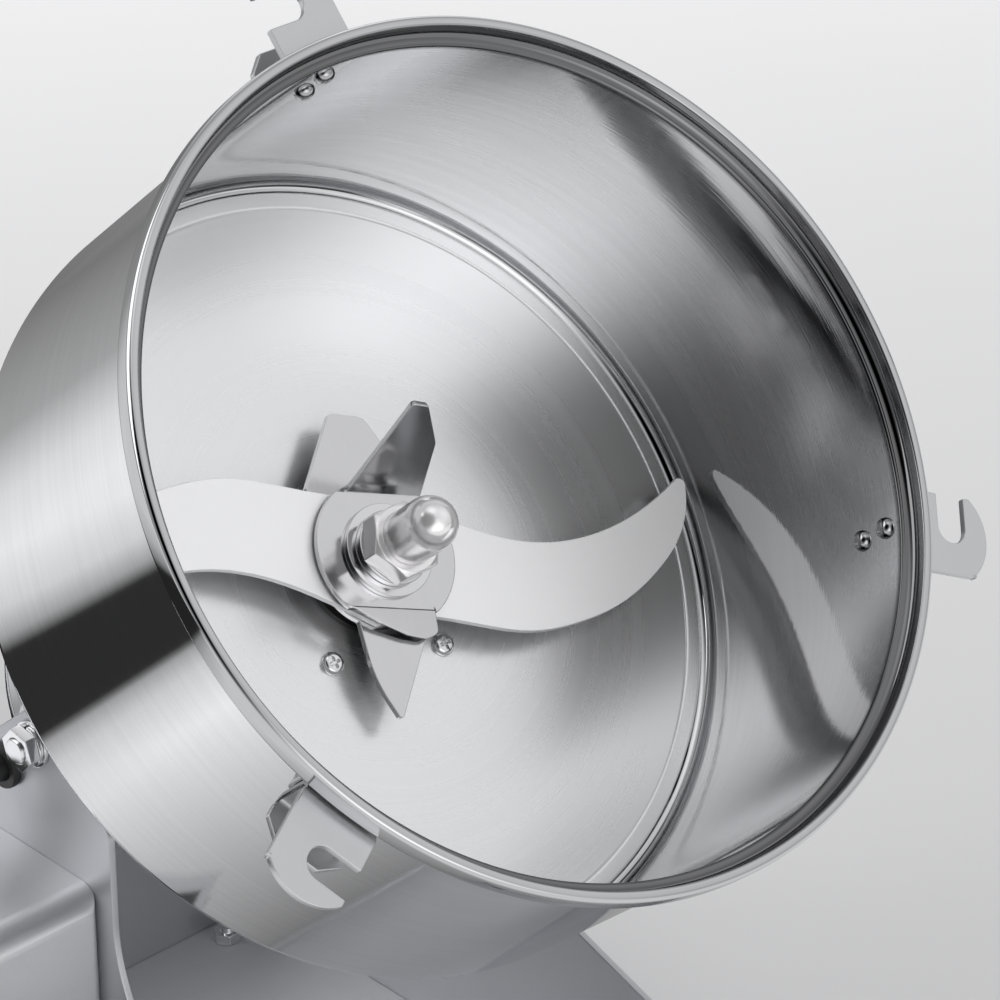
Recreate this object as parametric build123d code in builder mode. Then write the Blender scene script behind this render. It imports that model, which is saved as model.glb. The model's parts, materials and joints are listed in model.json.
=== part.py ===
import math
import os

from build123d import *

os.makedirs("parts", exist_ok=True)

# Tilting grain mill. The drum (bowl and motor) swings in a sheet metal stand about a
# sideways axis through its own centre line. It stands leaning forward by LEAN degrees.
# Millimetres, floor at z = 0, X across, -Y to the front, +Z up.
LEAN = 48.0               # drum axis from upright
MILL_X = 5.4              # middle plane of the stand
PIVOT_Y = 43.9            # drum pivot, from the origin
PIVOT_Z = 155.6           # drum pivot above the floor
RIM_TO_PIVOT = 150.0      # bowl rim above the pivot, along the drum axis

# Bowl. Depths are measured from the rim plane down the drum axis.
RIM_R = 105.0             # outside of the rolled rim
RIM_DEPTH = 6.2
SEAT_R = 102.3            # inside of the lip, where the lid drops in
SEAT_DEPTH = 4.6
WALL_R = 100.4            # outside of the wall
BOWL_R = 99.2             # inside of the wall
BOTTOM_TOP = 87.6
BOTTOM_END = 89.0
BOTTOM_HOLE_R = 16.0
CORNER_R = 3.6            # outer corner between wall and bottom
INNER_CORNER_R = 2.4      # the same corner inside
FLOOR_R = 96.7            # loose floor disc
FLOOR_TOP = 86.4
FLOOR_SCREW_PCR = 27.0    # radius of the floor screw circle
FLOOR_SCREW_START = 5.0   # angle of the first floor screw
FLOOR_SCREW_COUNT = 5
FLOOR_SCREW_R = 1.5
FLOOR_SCREW_HOLE_R = 1.6

# Latch hooks on the bowl wall
HOOK_ANGLES = (-30.0, 90.0, 210.0)
HOOK_T = 2.0
HOOK_TOP = 7.4            # depth of the hook plate
HOOK_HALF_WIDTH = 9.7
HOOK_LEG_END = 22.6
HOOK_TAB_R = 111.0
HOOK_EYE = (113.0, 13.4)  # centre radius and arc radius of the hook plate
SLOT_R = 3.9              # half the width of the hook slot
SLOT_CENTRE = (116.3, 1.9)
RIVET_DEPTHS = (10.6, 20.0)
RIVET_R = 1.6
RIVET_HEAD_R = 2.6
RIVET_HEAD_H = 2.0
RIVET_FIT = 0.02
HOOK_TIP_R = 122.6        # where the straight edge meets the hook
HOOK_CUT = 4.5            # cut corners of the tab

# Rotor. Depths run down the drum axis as well.
SHAFT_R = 7.5
THREAD_R = 5.0
FIT = 0.05                # running clearance on radius
NUT_DOME = 54.0           # depth of the dome's centre
NUT_NECK_R = 6.8
NUT_HEX_TOP = 64.2
NUT_END = 70.4
NUT_FLATS = 17.0
SPRING_WASHER_END = 72.6
FLAT_WASHER_END = 74.2
UPPER_BLADE_END = 75.8
SPACER_END = 76.9
LONG_BLADE_END = 78.9
LOWER_BLADE_END = 80.7
SLINGER_END = 84.8
BLADE_ANGLE = 66.0        # direction of the two small blades
HUB_R = 18.8
BEND_U = 14.5             # bend lines of the upper blade from the axis
WING_SLOPE = 60.0         # raised wing
LIP_SLOPE = -18.0         # lowered lip

# Motor
FLANGE_R = 58.0
FLANGE_END = 93.5
TUBE_R = 48.0
TUBE_T = 2.0
TUBE_END = 182.0
BEARING_OD_R = 17.5       # 15 x 35 x 11 bearing under the bowl
UPPER_BEARING = (95.5, 106.5)
LOWER_BEARING = (173.0, 182.0)
LOWER_BEARING_R = 15.0    # 10 x 30 x 9 bearing at the tail
LOWER_JOURNAL_R = 5.0
FAN = (108.0, 114.0)
CORE = (122.0, 152.0)
ARMATURE_R = 24.0
COMMUTATOR = (160.0, 171.0)
COMMUTATOR_R = 13.0
BRUSH_DEPTH = 165.5

# Stand
SIDE_IN = 62.5            # inner face of each side plate from the middle
SHEET = 2.0
PLATE_TOP = 15.0          # top of the base plate above the floor
ARM_HALF = 27.5           # half width of each upright
SHOULDER_Z = 142.2
APEX_Z = 166.1
WAIST_Z = 116.0           # where the upright starts to flare
FLARE_R = 50.0
FRONT_Y = -136.5          # front end of the base, from the pivot
REAR_Y = 71.5             # inner face of the rear wall, from the pivot
EDGE_SLOPE = 0.35         # fall of the side plate's top edge
FRONT_WALL_Z = 36.0
REAR_WALL_Z = 64.0
STUD_R = 3.25
FOOT_R = 9.5
FOOT_H = 13.0
FOOT_SCREW_HOLE_R = 2.1
FOOT_RECESS = (4.6, 6.0)  # radius and depth
FEET = ((-46, -124), (46, -124), (-46, 63.5), (46, 63.5), (-109, -8), (-109, 58))

# Control box on the left side plate
BOX_W = 57.5
BOX_FRONT = -23.0         # from the pivot
BOX_REAR = 73.5
BOX_TOP = 124.0
BOX_T = 1.5
TIMER_Z = 74.0
TIMER_X = -94.0
SWITCH = (-105.0, 36.0)   # x from the middle, z
RESET = (-80.0, 36.0)
GLAND_Z = 42.0
CORD_R = 4.0
LEAD_END = (-83.0, 11.5)  # where the motor lead enters the box, from the middle and pivot
ROCK = 8.0                # rocker rests pressed to one side by this angle

lean = math.radians(LEAN)
PIVOT = Vector(MILL_X, PIVOT_Y, PIVOT_Z)
DRUM = Plane(origin=PIVOT, x_dir=(1, 0, 0), z_dir=(0, -math.sin(lean), math.cos(lean)))
DRUM_AXIS = Axis(DRUM.origin, DRUM.z_dir)
PROFILE = Plane(origin=PIVOT, x_dir=DRUM.x_dir, z_dir=-DRUM.y_dir)
BASE = Plane(origin=(MILL_X, PIVOT_Y, 0))
SIDE = Plane(origin=(MILL_X, PIVOT_Y, 0), x_dir=(0, 1, 0), z_dir=(1, 0, 0))
PANEL = Plane(origin=(MILL_X, PIVOT_Y + BOX_FRONT, 0), x_dir=(1, 0, 0), z_dir=(0, -1, 0))
BACK = Plane(origin=(MILL_X, PIVOT_Y + BOX_REAR, 0), x_dir=(-1, 0, 0), z_dir=(0, 1, 0))


def level(depth):
    """Plane square to the drum axis at a depth below the rim."""
    return DRUM.offset(RIM_TO_PIVOT - depth)


def profile(*corners):
    """(radius, depth) corners as points of the PROFILE plane."""
    return [(radius, RIM_TO_PIVOT - depth) for radius, depth in corners]


def spoke(angle):
    """Unit vector from the drum axis at an angle from the X axis."""
    turn = math.radians(angle)
    return DRUM.x_dir * math.cos(turn) + DRUM.y_dir * math.sin(turn)


def turned_plane(depth, angle):
    """Plane square to the drum axis with its x along a spoke."""
    return Plane(origin=level(depth).origin, x_dir=spoke(angle), z_dir=DRUM.z_dir)


def save(builder, label):
    builder.part.label = label
    export_step(builder.part, f"parts/{label}.step")


def save_copies(template, places, label):
    """One node with a copy of a fastener at each place."""
    with BuildPart() as group:
        with Locations(*places):
            add(template.part)
    save(group, label)


# ------------------------------------------------------------------ bowl
with BuildPart() as bowl_shell:
    with BuildSketch(PROFILE):
        with BuildLine():
            FilletPolyline(
                *profile(
                    (SEAT_R, 0), (RIM_R, 0), (RIM_R, RIM_DEPTH), (WALL_R, RIM_DEPTH),
                    (WALL_R, BOTTOM_END), (BOTTOM_HOLE_R, BOTTOM_END),
                    (BOTTOM_HOLE_R, BOTTOM_TOP), (BOWL_R, BOTTOM_TOP),
                    (BOWL_R, SEAT_DEPTH), (SEAT_R, SEAT_DEPTH),
                ),
                radius=(0.6, 1.2, 1.4, 0, CORNER_R, 0, 0, INNER_CORNER_R, 2.0, 0),
                close=True,
            )
        make_face()
    revolve(axis=DRUM_AXIS)
    # clearance holes for the floor screws, and holes for the hook rivets
    with BuildSketch(level(BOTTOM_END)):
        with PolarLocations(FLOOR_SCREW_PCR, FLOOR_SCREW_COUNT, start_angle=FLOOR_SCREW_START):
            Circle(FLOOR_SCREW_HOLE_R)
    extrude(amount=BOTTOM_END - BOTTOM_TOP, mode=Mode.SUBTRACT)
    for angle in HOOK_ANGLES:
        for depth in RIVET_DEPTHS:
            eye = Plane(origin=level(depth).origin, x_dir=DRUM.z_dir, z_dir=spoke(angle))
            with BuildSketch(eye.offset(BOWL_R - 3)):
                Circle(RIVET_R + RIVET_FIT)
            extrude(amount=8, mode=Mode.SUBTRACT)
save(bowl_shell, "bowl_shell")

with BuildPart() as bowl_floor:
    with BuildSketch(level(BOTTOM_TOP)):
        Circle(FLOOR_R)
        Circle(BOTTOM_HOLE_R, mode=Mode.SUBTRACT)
        with PolarLocations(FLOOR_SCREW_PCR, FLOOR_SCREW_COUNT, start_angle=FLOOR_SCREW_START):
            Circle(FLOOR_SCREW_HOLE_R, mode=Mode.SUBTRACT)
    extrude(amount=BOTTOM_TOP - FLOOR_TOP)
    rim_edges = bowl_floor.edges().filter_by(GeomType.CIRCLE).sort_by(SortBy.RADIUS)[-2:]
    fillet(rim_edges.sort_by(DRUM_AXIS)[-1], 0.8)
save(bowl_floor, "bowl_floor")

FLOOR_SCREW_HEAD = (2.9, 1.7)      # radius and height
FLOOR_SCREW_CROWN_R = 1.2
FLOOR_SCREW_LENGTH = 7.5
FLOOR_SCREW_CROSS = (3.0, 0.7)     # length and width of the recess's arms
FLOOR_SCREW_CROSS_DEPTH = 0.9
with BuildPart() as floor_screw:
    with BuildSketch():
        Circle(FLOOR_SCREW_R)
    extrude(amount=-FLOOR_SCREW_LENGTH)
    with BuildSketch():
        Circle(FLOOR_SCREW_HEAD[0])
    extrude(amount=FLOOR_SCREW_HEAD[1])
    crown = floor_screw.faces().sort_by(Axis.Z)[-1]
    fillet(crown.edges(), FLOOR_SCREW_CROWN_R)
    with BuildSketch(crown):
        with PolarLocations(0, 2, angular_range=180):
            Rectangle(*FLOOR_SCREW_CROSS)
    extrude(amount=-FLOOR_SCREW_CROSS_DEPTH, mode=Mode.SUBTRACT)
floor_screw_places = [
    Plane(origin=level(FLOOR_TOP).origin + spoke(angle) * FLOOR_SCREW_PCR,
          x_dir=DRUM.x_dir, z_dir=DRUM.z_dir)
    for angle in [FLOOR_SCREW_START + 360 / FLOOR_SCREW_COUNT * i for i in range(FLOOR_SCREW_COUNT)]
]
save_copies(floor_screw, floor_screw_places, "floor_screws")

# ------------------------------------------------------------------ latch hooks
# A bent strip: plate parallel to the rim, leg against the wall, short stiffening tab below.
for number, angle in enumerate(HOOK_ANGLES, start=1):
    strip_plane = Plane(
        origin=DRUM.origin, x_dir=spoke(angle), z_dir=spoke(angle).cross(DRUM.z_dir)
    )
    tab_top = HOOK_LEG_END - HOOK_T
    leg_in = WALL_R + 0.05
    eye_r, arc_r = HOOK_EYE
    with BuildPart() as latch_hook:
        with BuildSketch(strip_plane):
            with BuildLine():
                FilletPolyline(
                    *profile(
                        (leg_in, HOOK_TOP), (eye_r + arc_r + 1, HOOK_TOP),
                        (eye_r + arc_r + 1, HOOK_TOP + HOOK_T), (leg_in + HOOK_T, HOOK_TOP + HOOK_T),
                        (leg_in + HOOK_T, tab_top), (HOOK_TAB_R, tab_top),
                        (HOOK_TAB_R, HOOK_LEG_END), (leg_in, HOOK_LEG_END),
                    ),
                    radius=(3.6, 0, 0, 1.6, 1.4, 0, 0, 3.4),
                    close=True,
                )
            make_face()
        extrude(amount=arc_r + 1, both=True)
        # planform: root, tab with cut corners, round hook with its slot
        with BuildSketch(turned_plane(HOOK_LEG_END + 1, angle)):
            with Locations((eye_r, 0)):
                Circle(arc_r)
            with BuildLine():
                FilletPolyline(
                    (WALL_R - 1, -HOOK_HALF_WIDTH), (HOOK_TIP_R, -HOOK_HALF_WIDTH),
                    (eye_r, 0), (SLOT_CENTRE[0] - SLOT_R, HOOK_HALF_WIDTH),
                    (WALL_R - 1, HOOK_HALF_WIDTH),
                    radius=(0, 0, 0, 1.4, 0),
                    close=True,
                )
            make_face()
            with Locations((eye_r, 0)):
                Rectangle(60, 2 * HOOK_HALF_WIDTH + 0.6, mode=Mode.INTERSECT)
            with Locations((SLOT_CENTRE[0], SLOT_CENTRE[1] + 10)):
                Rectangle(2 * SLOT_R, 20, mode=Mode.SUBTRACT)
            with Locations(SLOT_CENTRE):
                Circle(SLOT_R, mode=Mode.SUBTRACT)
        extrude(amount=HOOK_LEG_END, mode=Mode.INTERSECT)
        for side in (-1, 1):
            with BuildSketch(turned_plane(HOOK_LEG_END + 1, angle)):
                with BuildLine():
                    Polyline(
                        (HOOK_TAB_R - HOOK_CUT, side * (HOOK_HALF_WIDTH + 1)),
                        (HOOK_TAB_R + 0.5, side * (HOOK_HALF_WIDTH - HOOK_CUT)),
                        (HOOK_TAB_R + 0.5, side * (HOOK_HALF_WIDTH + 1)),
                        close=True,
                    )
                make_face()
            extrude(amount=4, mode=Mode.SUBTRACT)
        for depth in RIVET_DEPTHS:
            eye = Plane(origin=level(depth).origin, x_dir=DRUM.z_dir, z_dir=spoke(angle))
            with BuildSketch(eye.offset(WALL_R - 1)):
                Circle(RIVET_R + RIVET_FIT)
            extrude(amount=3.2, mode=Mode.SUBTRACT)
    save(latch_hook, f"latch_hook_{number}")

with BuildPart() as hook_rivet:
    with BuildSketch():
        Circle(RIVET_R)
    extrude(amount=WALL_R + HOOK_T - BOWL_R + 0.1)
    with BuildSketch():
        Circle(RIVET_HEAD_R)
    extrude(amount=-RIVET_HEAD_H)
    dome = hook_rivet.faces().sort_by(Axis.Z)[0]
    fillet(dome.edges(), RIVET_HEAD_H - 0.1)
rivet_places = [
    Plane(origin=level(depth).origin + spoke(angle) * (BOWL_R - 0.07),
          x_dir=DRUM.z_dir, z_dir=spoke(angle))
    for angle in HOOK_ANGLES
    for depth in RIVET_DEPTHS
]
save_copies(hook_rivet, rivet_places, "hook_rivets")

# ------------------------------------------------------------------ motor, fixed pieces
BRACKET_PLATE_END = 94.5            # underside of the thin plate
BRACKET_RING = (42.5, 99.5)        # spigot in the housing: inner radius and end
BRACKET_HUB_R = 23.5
SEAL_SEAT = 92.4
SEAL_LIP_R = 11.5
with BuildPart() as upper_bracket:
    with BuildSketch(PROFILE):
        with BuildLine():
            Polyline(
                *profile(
                    (BOTTOM_HOLE_R, BOTTOM_END), (FLANGE_R, BOTTOM_END), (FLANGE_R, FLANGE_END),
                    (TUBE_R - TUBE_T, FLANGE_END), (TUBE_R - TUBE_T, BRACKET_RING[1]), BRACKET_RING,
                    (BRACKET_RING[0], BRACKET_PLATE_END), (BRACKET_HUB_R, BRACKET_PLATE_END),
                    (BRACKET_HUB_R, UPPER_BEARING[1]),
                    (BEARING_OD_R, UPPER_BEARING[1]), (BEARING_OD_R, UPPER_BEARING[0]),
                    (SEAL_LIP_R, UPPER_BEARING[0]), (SEAL_LIP_R, SEAL_SEAT), (BOTTOM_HOLE_R, SEAL_SEAT),
                ),
                close=True,
            )
        make_face()
    revolve(axis=DRUM_AXIS)
    with BuildSketch(level(FLANGE_END + 2)):
        with PolarLocations(FLOOR_SCREW_PCR, FLOOR_SCREW_COUNT, start_angle=FLOOR_SCREW_START):
            Circle(FLOOR_SCREW_R + FIT)
    extrude(amount=8, mode=Mode.SUBTRACT)
save(upper_bracket, "upper_bracket")

with BuildPart() as shaft_seal:
    with BuildSketch(level(SEAL_SEAT)):
        Circle(BOTTOM_HOLE_R)
        Circle(SHAFT_R + FIT, mode=Mode.SUBTRACT)
    extrude(amount=SEAL_SEAT - SLINGER_END - 0.4)
save(shaft_seal, "shaft_seal")

for label, span, outer, inner in (
    ("upper_bearing", UPPER_BEARING, BEARING_OD_R, SHAFT_R),
    ("lower_bearing", LOWER_BEARING, LOWER_BEARING_R, LOWER_JOURNAL_R),
):
    shoulder = 0.3 * (outer - inner)
    with BuildPart() as bearing:
        with BuildSketch(level(span[1])):
            Circle(outer)
            Circle(inner + FIT, mode=Mode.SUBTRACT)
        extrude(amount=span[1] - span[0])
        # shield faces set back between the rings
        for depth, inset in ((span[1], 0.6), (span[0], -0.6)):
            with BuildSketch(level(depth)):
                Circle(outer - shoulder)
                Circle(inner + shoulder, mode=Mode.SUBTRACT)
            extrude(amount=inset, mode=Mode.SUBTRACT)
    save(bearing, label)

VENT_TOP = (103.0, 113.0)          # outlet slots beside the fan
with BuildPart() as motor_housing:
    with BuildSketch(level(TUBE_END)):
        Circle(TUBE_R)
        Circle(TUBE_R - TUBE_T, mode=Mode.SUBTRACT)
    extrude(amount=TUBE_END - FLANGE_END)
    for slot in range(16):
        wall = Plane(origin=level(sum(VENT_TOP) / 2).origin, x_dir=DRUM.z_dir,
                     z_dir=spoke(11.25 + 22.5 * slot))
        with BuildSketch(wall.offset(TUBE_R - 4)):
            SlotOverall(VENT_TOP[1] - VENT_TOP[0], 4)
        extrude(amount=6, mode=Mode.SUBTRACT)
save(motor_housing, "motor_housing")

COIL_WINDOW = (33.5, 9.0, 15.0)    # windows in the core: radius, width and height
with BuildPart() as stator_core:
    with BuildSketch(level(CORE[1])):
        Circle(TUBE_R - TUBE_T)
        Circle(ARMATURE_R + 0.8, mode=Mode.SUBTRACT)
        # two windows for the field coils, above and below the poles
        with PolarLocations(COIL_WINDOW[0], 4, start_angle=45):
            Rectangle(COIL_WINDOW[1], COIL_WINDOW[2], mode=Mode.SUBTRACT)
    extrude(amount=CORE[1] - CORE[0])
save(stator_core, "stator_core")

COIL_IN, COIL_OUT = 28.0, 39.0     # radii of the end turns
COIL_HALF = math.radians(60)       # half the arc that a coil spans
COIL_END_H = 6.0                   # height of the end turns
COIL_R = 33.5                      # middle radius of a coil's sides


def coil_corner(radius, side):
    return (radius * math.cos(COIL_HALF), side * radius * math.sin(COIL_HALF))


with BuildPart() as field_windings:
    for side in (0, 180):
        for depth in (CORE[0] - 0.2, CORE[1] + COIL_END_H + 0.2):
            with BuildSketch(turned_plane(depth, side)):
                with BuildLine():
                    RadiusArc(coil_corner(COIL_IN, -1), coil_corner(COIL_IN, 1), -COIL_IN)
                    Line(coil_corner(COIL_IN, 1), coil_corner(COIL_OUT, 1))
                    RadiusArc(coil_corner(COIL_OUT, 1), coil_corner(COIL_OUT, -1), COIL_OUT)
                    Line(coil_corner(COIL_OUT, -1), coil_corner(COIL_IN, -1))
                make_face()
            extrude(amount=COIL_END_H)
        for turn in (-45, 45):
            with BuildSketch(turned_plane(CORE[1] + 1, side + turn)):
                with Locations((COIL_R, 0)):
                    Rectangle(8, 13.5)
            extrude(amount=CORE[1] - CORE[0] + 2)
save(field_windings, "field_windings")

POST_R = 40.0
SPIDER = (173.5, 176.5)            # spokes of the lower bracket
HUB_OUT, HUB_IN, HUB_TOP = 19.0, 9.0, 172.0
with BuildPart() as lower_bracket:
    with BuildSketch(PROFILE):
        with BuildLine():
            Polyline(
                *profile(
                    (LOWER_BEARING_R, LOWER_BEARING[0]), (LOWER_BEARING_R, LOWER_BEARING[1]),
                    (HUB_OUT, LOWER_BEARING[1]), (HUB_OUT, SPIDER[1]), (TUBE_R - TUBE_T, SPIDER[1]),
                    (TUBE_R - TUBE_T, SPIDER[0]), (HUB_OUT, SPIDER[0]), (HUB_OUT, HUB_TOP),
                    (HUB_IN, HUB_TOP), (HUB_IN, LOWER_BEARING[0]),
                ),
                close=True,
            )
        make_face()
    revolve(axis=DRUM_AXIS)
    with BuildSketch(level(178)):
        with PolarLocations(32, 6, start_angle=30):
            Circle(5.5)
    extrude(amount=6, mode=Mode.SUBTRACT)
    with BuildSketch(level(TUBE_END)):
        with PolarLocations(POST_R, 4, start_angle=45):
            Circle(4)
    extrude(amount=TUBE_END - 175)
    with BuildSketch(level(TUBE_END)):
        with PolarLocations(POST_R, 4, start_angle=45):
            Circle(1.6)
    extrude(amount=7, mode=Mode.SUBTRACT)
save(lower_bracket, "lower_bracket")

# brush gear: brass tubes in the housing wall, carbon brushes pushed in by springs
BRUSH = (6.4, 8.4, 14.0)           # across, along the shaft, long
HOLDER = (9.0, 11.0)               # outside of the brass tube
with BuildPart() as brush_holders:
    for angle in (90, 270):
        seat = Plane(origin=level(BRUSH_DEPTH).origin, x_dir=DRUM.x_dir, z_dir=spoke(angle))
        with BuildSketch(seat.offset(COMMUTATOR_R + 1.5)):
            Rectangle(*HOLDER)
            Rectangle(BRUSH[0] + 0.2, BRUSH[1] + 0.2, mode=Mode.SUBTRACT)
        extrude(amount=TUBE_R - TUBE_T - COMMUTATOR_R - 3)
        with BuildSketch(seat.offset(TUBE_R - TUBE_T - 1.6)):
            Rectangle(*HOLDER)
        extrude(amount=0.9)
save(brush_holders, "brush_holders")

with BuildPart() as carbon_brushes:
    for angle in (90, 270):
        seat = Plane(origin=level(BRUSH_DEPTH).origin, x_dir=DRUM.x_dir, z_dir=spoke(angle))
        with BuildSketch(seat.offset(COMMUTATOR_R + 0.3)):
            Rectangle(BRUSH[0], BRUSH[1])
        extrude(amount=BRUSH[2])
save(carbon_brushes, "carbon_brushes")

SPRING_COILS = 7
SPRING_PITCH = 2.5
with BuildPart() as brush_springs:
    for angle in (90, 270):
        seat = Plane(origin=level(BRUSH_DEPTH).origin, x_dir=DRUM.x_dir, z_dir=spoke(angle))
        start = COMMUTATOR_R + BRUSH[2] + 0.3
        for coil in range(SPRING_COILS):
            with BuildSketch(seat.offset(start + coil * SPRING_PITCH)):
                Circle(2.8)
                Circle(1.9, mode=Mode.SUBTRACT)
            extrude(amount=1.2)
        with BuildSketch(seat.offset(start)):
            Circle(2.0)
            Circle(1.7, mode=Mode.SUBTRACT)
        extrude(amount=17.1)
save(brush_springs, "brush_springs")

COVER_END = 184.0
with BuildPart() as bottom_cover:
    with BuildSketch(level(COVER_END)):
        Circle(TUBE_R)
        with PolarLocations(POST_R, 4, start_angle=45):
            Circle(1.7, mode=Mode.SUBTRACT)
        # rings of intake slots
        for radius, count in ((14, 8), (24, 12), (34, 16)):
            with PolarLocations(radius, count):
                SlotOverall(5.5, 2.4, mode=Mode.SUBTRACT)
    extrude(amount=COVER_END - TUBE_END)
    tail = bottom_cover.edges().filter_by(GeomType.CIRCLE).sort_by(SortBy.RADIUS)[-2:]
    fillet(tail.sort_by(DRUM_AXIS)[0], 1.2)
save(bottom_cover, "bottom_cover")

with BuildPart() as cover_screw:
    with BuildSketch():
        Circle(1.5)
    extrude(amount=-8)
    with BuildSketch():
        Circle(2.8)
    extrude(amount=1.8)
    fillet(cover_screw.faces().sort_by(Axis.Z)[-1].edges(), 1.0)
cover_screw_places = [
    Plane(origin=level(COVER_END).origin + spoke(45 + 90 * i) * POST_R,
          x_dir=DRUM.x_dir, z_dir=-DRUM.z_dir)
    for i in range(4)
]
save_copies(cover_screw, cover_screw_places, "cover_screws")

# ------------------------------------------------------------------ rotor
with BuildPart() as motor_shaft:
    with BuildSketch(PROFILE):
        with BuildLine():
            Polyline(
                *profile(
                    (0, 60), (THREAD_R - 1, 60), (THREAD_R, 61), (THREAD_R, LOWER_BLADE_END),
                    (SHAFT_R, LOWER_BLADE_END), (SHAFT_R, LOWER_BEARING[0] - 1),
                    (LOWER_JOURNAL_R, LOWER_BEARING[0] - 1), (LOWER_JOURNAL_R, 181.5), (0, 181.5),
                ),
                close=True,
            )
        make_face()
    revolve(axis=DRUM_AXIS)
save(motor_shaft, "motor_shaft")

ROTOR_SLOTS = 12
with BuildPart() as armature_core:
    with BuildSketch(level(CORE[1])):
        Circle(ARMATURE_R)
        Circle(SHAFT_R, mode=Mode.SUBTRACT)
        with PolarLocations(20, ROTOR_SLOTS):
            Rectangle(5, 3.2, mode=Mode.SUBTRACT)
        with PolarLocations(ARMATURE_R, ROTOR_SLOTS):
            Rectangle(4, 1.6, mode=Mode.SUBTRACT)
    extrude(amount=CORE[1] - CORE[0])
save(armature_core, "armature_core")

with BuildPart() as armature_windings:
    for depth in (CORE[0], COMMUTATOR[0] - 0.2):
        with BuildSketch(level(depth)):
            Circle(22)
            Circle(SHAFT_R + 0.6, mode=Mode.SUBTRACT)
        extrude(amount=6 if depth == CORE[0] else COMMUTATOR[0] - 0.2 - CORE[1])
    with BuildSketch(level(CORE[1] + 1)):
        with PolarLocations(20, ROTOR_SLOTS):
            Rectangle(4.6, 2.8)
    extrude(amount=CORE[1] - CORE[0] + 2)
save(armature_windings, "armature_windings")

with BuildPart() as commutator:
    with BuildSketch(level(COMMUTATOR[1])):
        Circle(COMMUTATOR_R)
        Circle(SHAFT_R, mode=Mode.SUBTRACT)
        with PolarLocations(COMMUTATOR_R, 24):
            Rectangle(2.4, 0.6, mode=Mode.SUBTRACT)
    extrude(amount=COMMUTATOR[1] - COMMUTATOR[0])
save(commutator, "commutator")

with BuildPart() as cooling_fan:
    with BuildSketch(level(FAN[1])):
        Circle(40)
        Circle(SHAFT_R, mode=Mode.SUBTRACT)
    extrude(amount=1.2)
    with BuildSketch(level(FAN[1] - 1)):
        Circle(11)
        Circle(SHAFT_R, mode=Mode.SUBTRACT)
        with PolarLocations(30, 12):
            Rectangle(18, 1.4)
    extrude(amount=FAN[1] - FAN[0] - 1)
save(cooling_fan, "cooling_fan")

with BuildPart() as shaft_slinger:
    with BuildSketch(level(SLINGER_END)):
        Circle(12)
        Circle(SHAFT_R, mode=Mode.SUBTRACT)
    extrude(amount=SLINGER_END - LOWER_BLADE_END)
save(shaft_slinger, "shaft_slinger")

# small flat blade under the long one, points along and across its own direction
LOWER_CORNERS = ((16.4, 17.2), (36.0, 8.4), (35.8, -0.8), (29.5, -5.3), (16.0, -10.5))
LOWER_TIP = (-40.3, -1.6)
with BuildPart() as lower_blade:
    with BuildSketch(turned_plane(LOWER_BLADE_END, BLADE_ANGLE)):
        Circle(17.5)
        with BuildLine():
            FilletPolyline(
                *LOWER_CORNERS, (-16.0, -12.4), LOWER_TIP, (-30.3, 4.6), (-10.0, 8.0),
                radius=(0, 1.5, 4.0, 8.0, 0, 3.0, 0.8, 30.0, 0),
                close=True,
            )
        make_face()
        Circle(THREAD_R + FIT, mode=Mode.SUBTRACT)
    extrude(amount=LOWER_BLADE_END - LONG_BLADE_END)
save(lower_blade, "lower_blade")

# long S shaped blade, one arm drawn and turned by half a turn for the other
HUB_START = (9.7, 14.8)
TOP_EDGE = (HUB_START, (20, 3.8), (35, -8.6), (47, -14.3), (60.3, -17), (74, -16.9), (91, -13.3))
TIP = (92.5, -14.2)
LOW_EDGE = ((92.4, -16.2), (83, -27), (70.9, -32.4), (57, -35.3), (43.5, -34.9), (30, -32.0),
            (17, -25.2), (4.6, -18.0))
with BuildPart() as long_blade:
    with BuildSketch(level(LONG_BLADE_END)):
        for turn in (1, -1):
            top = [(turn * x, turn * y) for x, y in TOP_EDGE]
            low = [(turn * x, turn * y) for x, y in LOW_EDGE]
            with BuildLine():
                Spline(*top)
                ThreePointArc(top[-1], (turn * TIP[0], turn * TIP[1]), low[0])
                Spline(*low)
                Polyline(low[-1], (-top[0][0], -top[0][1]), top[0])
            make_face()
        Circle(THREAD_R + FIT, mode=Mode.SUBTRACT)
    extrude(amount=LONG_BLADE_END - SPACER_END)
save(long_blade, "long_blade")

with BuildPart() as blade_spacer:
    with BuildSketch(level(SPACER_END)):
        Circle(13)
        Circle(THREAD_R + FIT, mode=Mode.SUBTRACT)
    extrude(amount=SPACER_END - UPPER_BLADE_END)
save(blade_spacer, "blade_spacer")

# upper blade: hub disc, a knife wing bent up and a short lip bent down on the other side
BLADE_T = UPPER_BLADE_END - FLAT_WASHER_END
WING_OUTLINE = ((10.6, -0.9), (8.6, 0.6), (2.4, 27.6), (-1.9, 27.2), (-8.6, 16.3), (-11.0, 2.1),
                (-11.4, -0.9))
LIP_OUTLINE = ((-11.4, -0.4), (-3.3, 3.2), (4.7, 5.9), (9.5, 6.5), (12.6, 5.0), (11.4, -0.4))


def bent_plane(angle, slope):
    """Plane of a wing: x across the blade, y up the slope, z through the sheet."""
    out, across, rise = spoke(angle), spoke(angle + 90), math.radians(slope)
    uphill = out * math.cos(rise) + DRUM.z_dir * math.sin(rise)
    return Plane(origin=level(FLAT_WASHER_END).origin + out * BEND_U, x_dir=across,
                 z_dir=across.cross(uphill))


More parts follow.
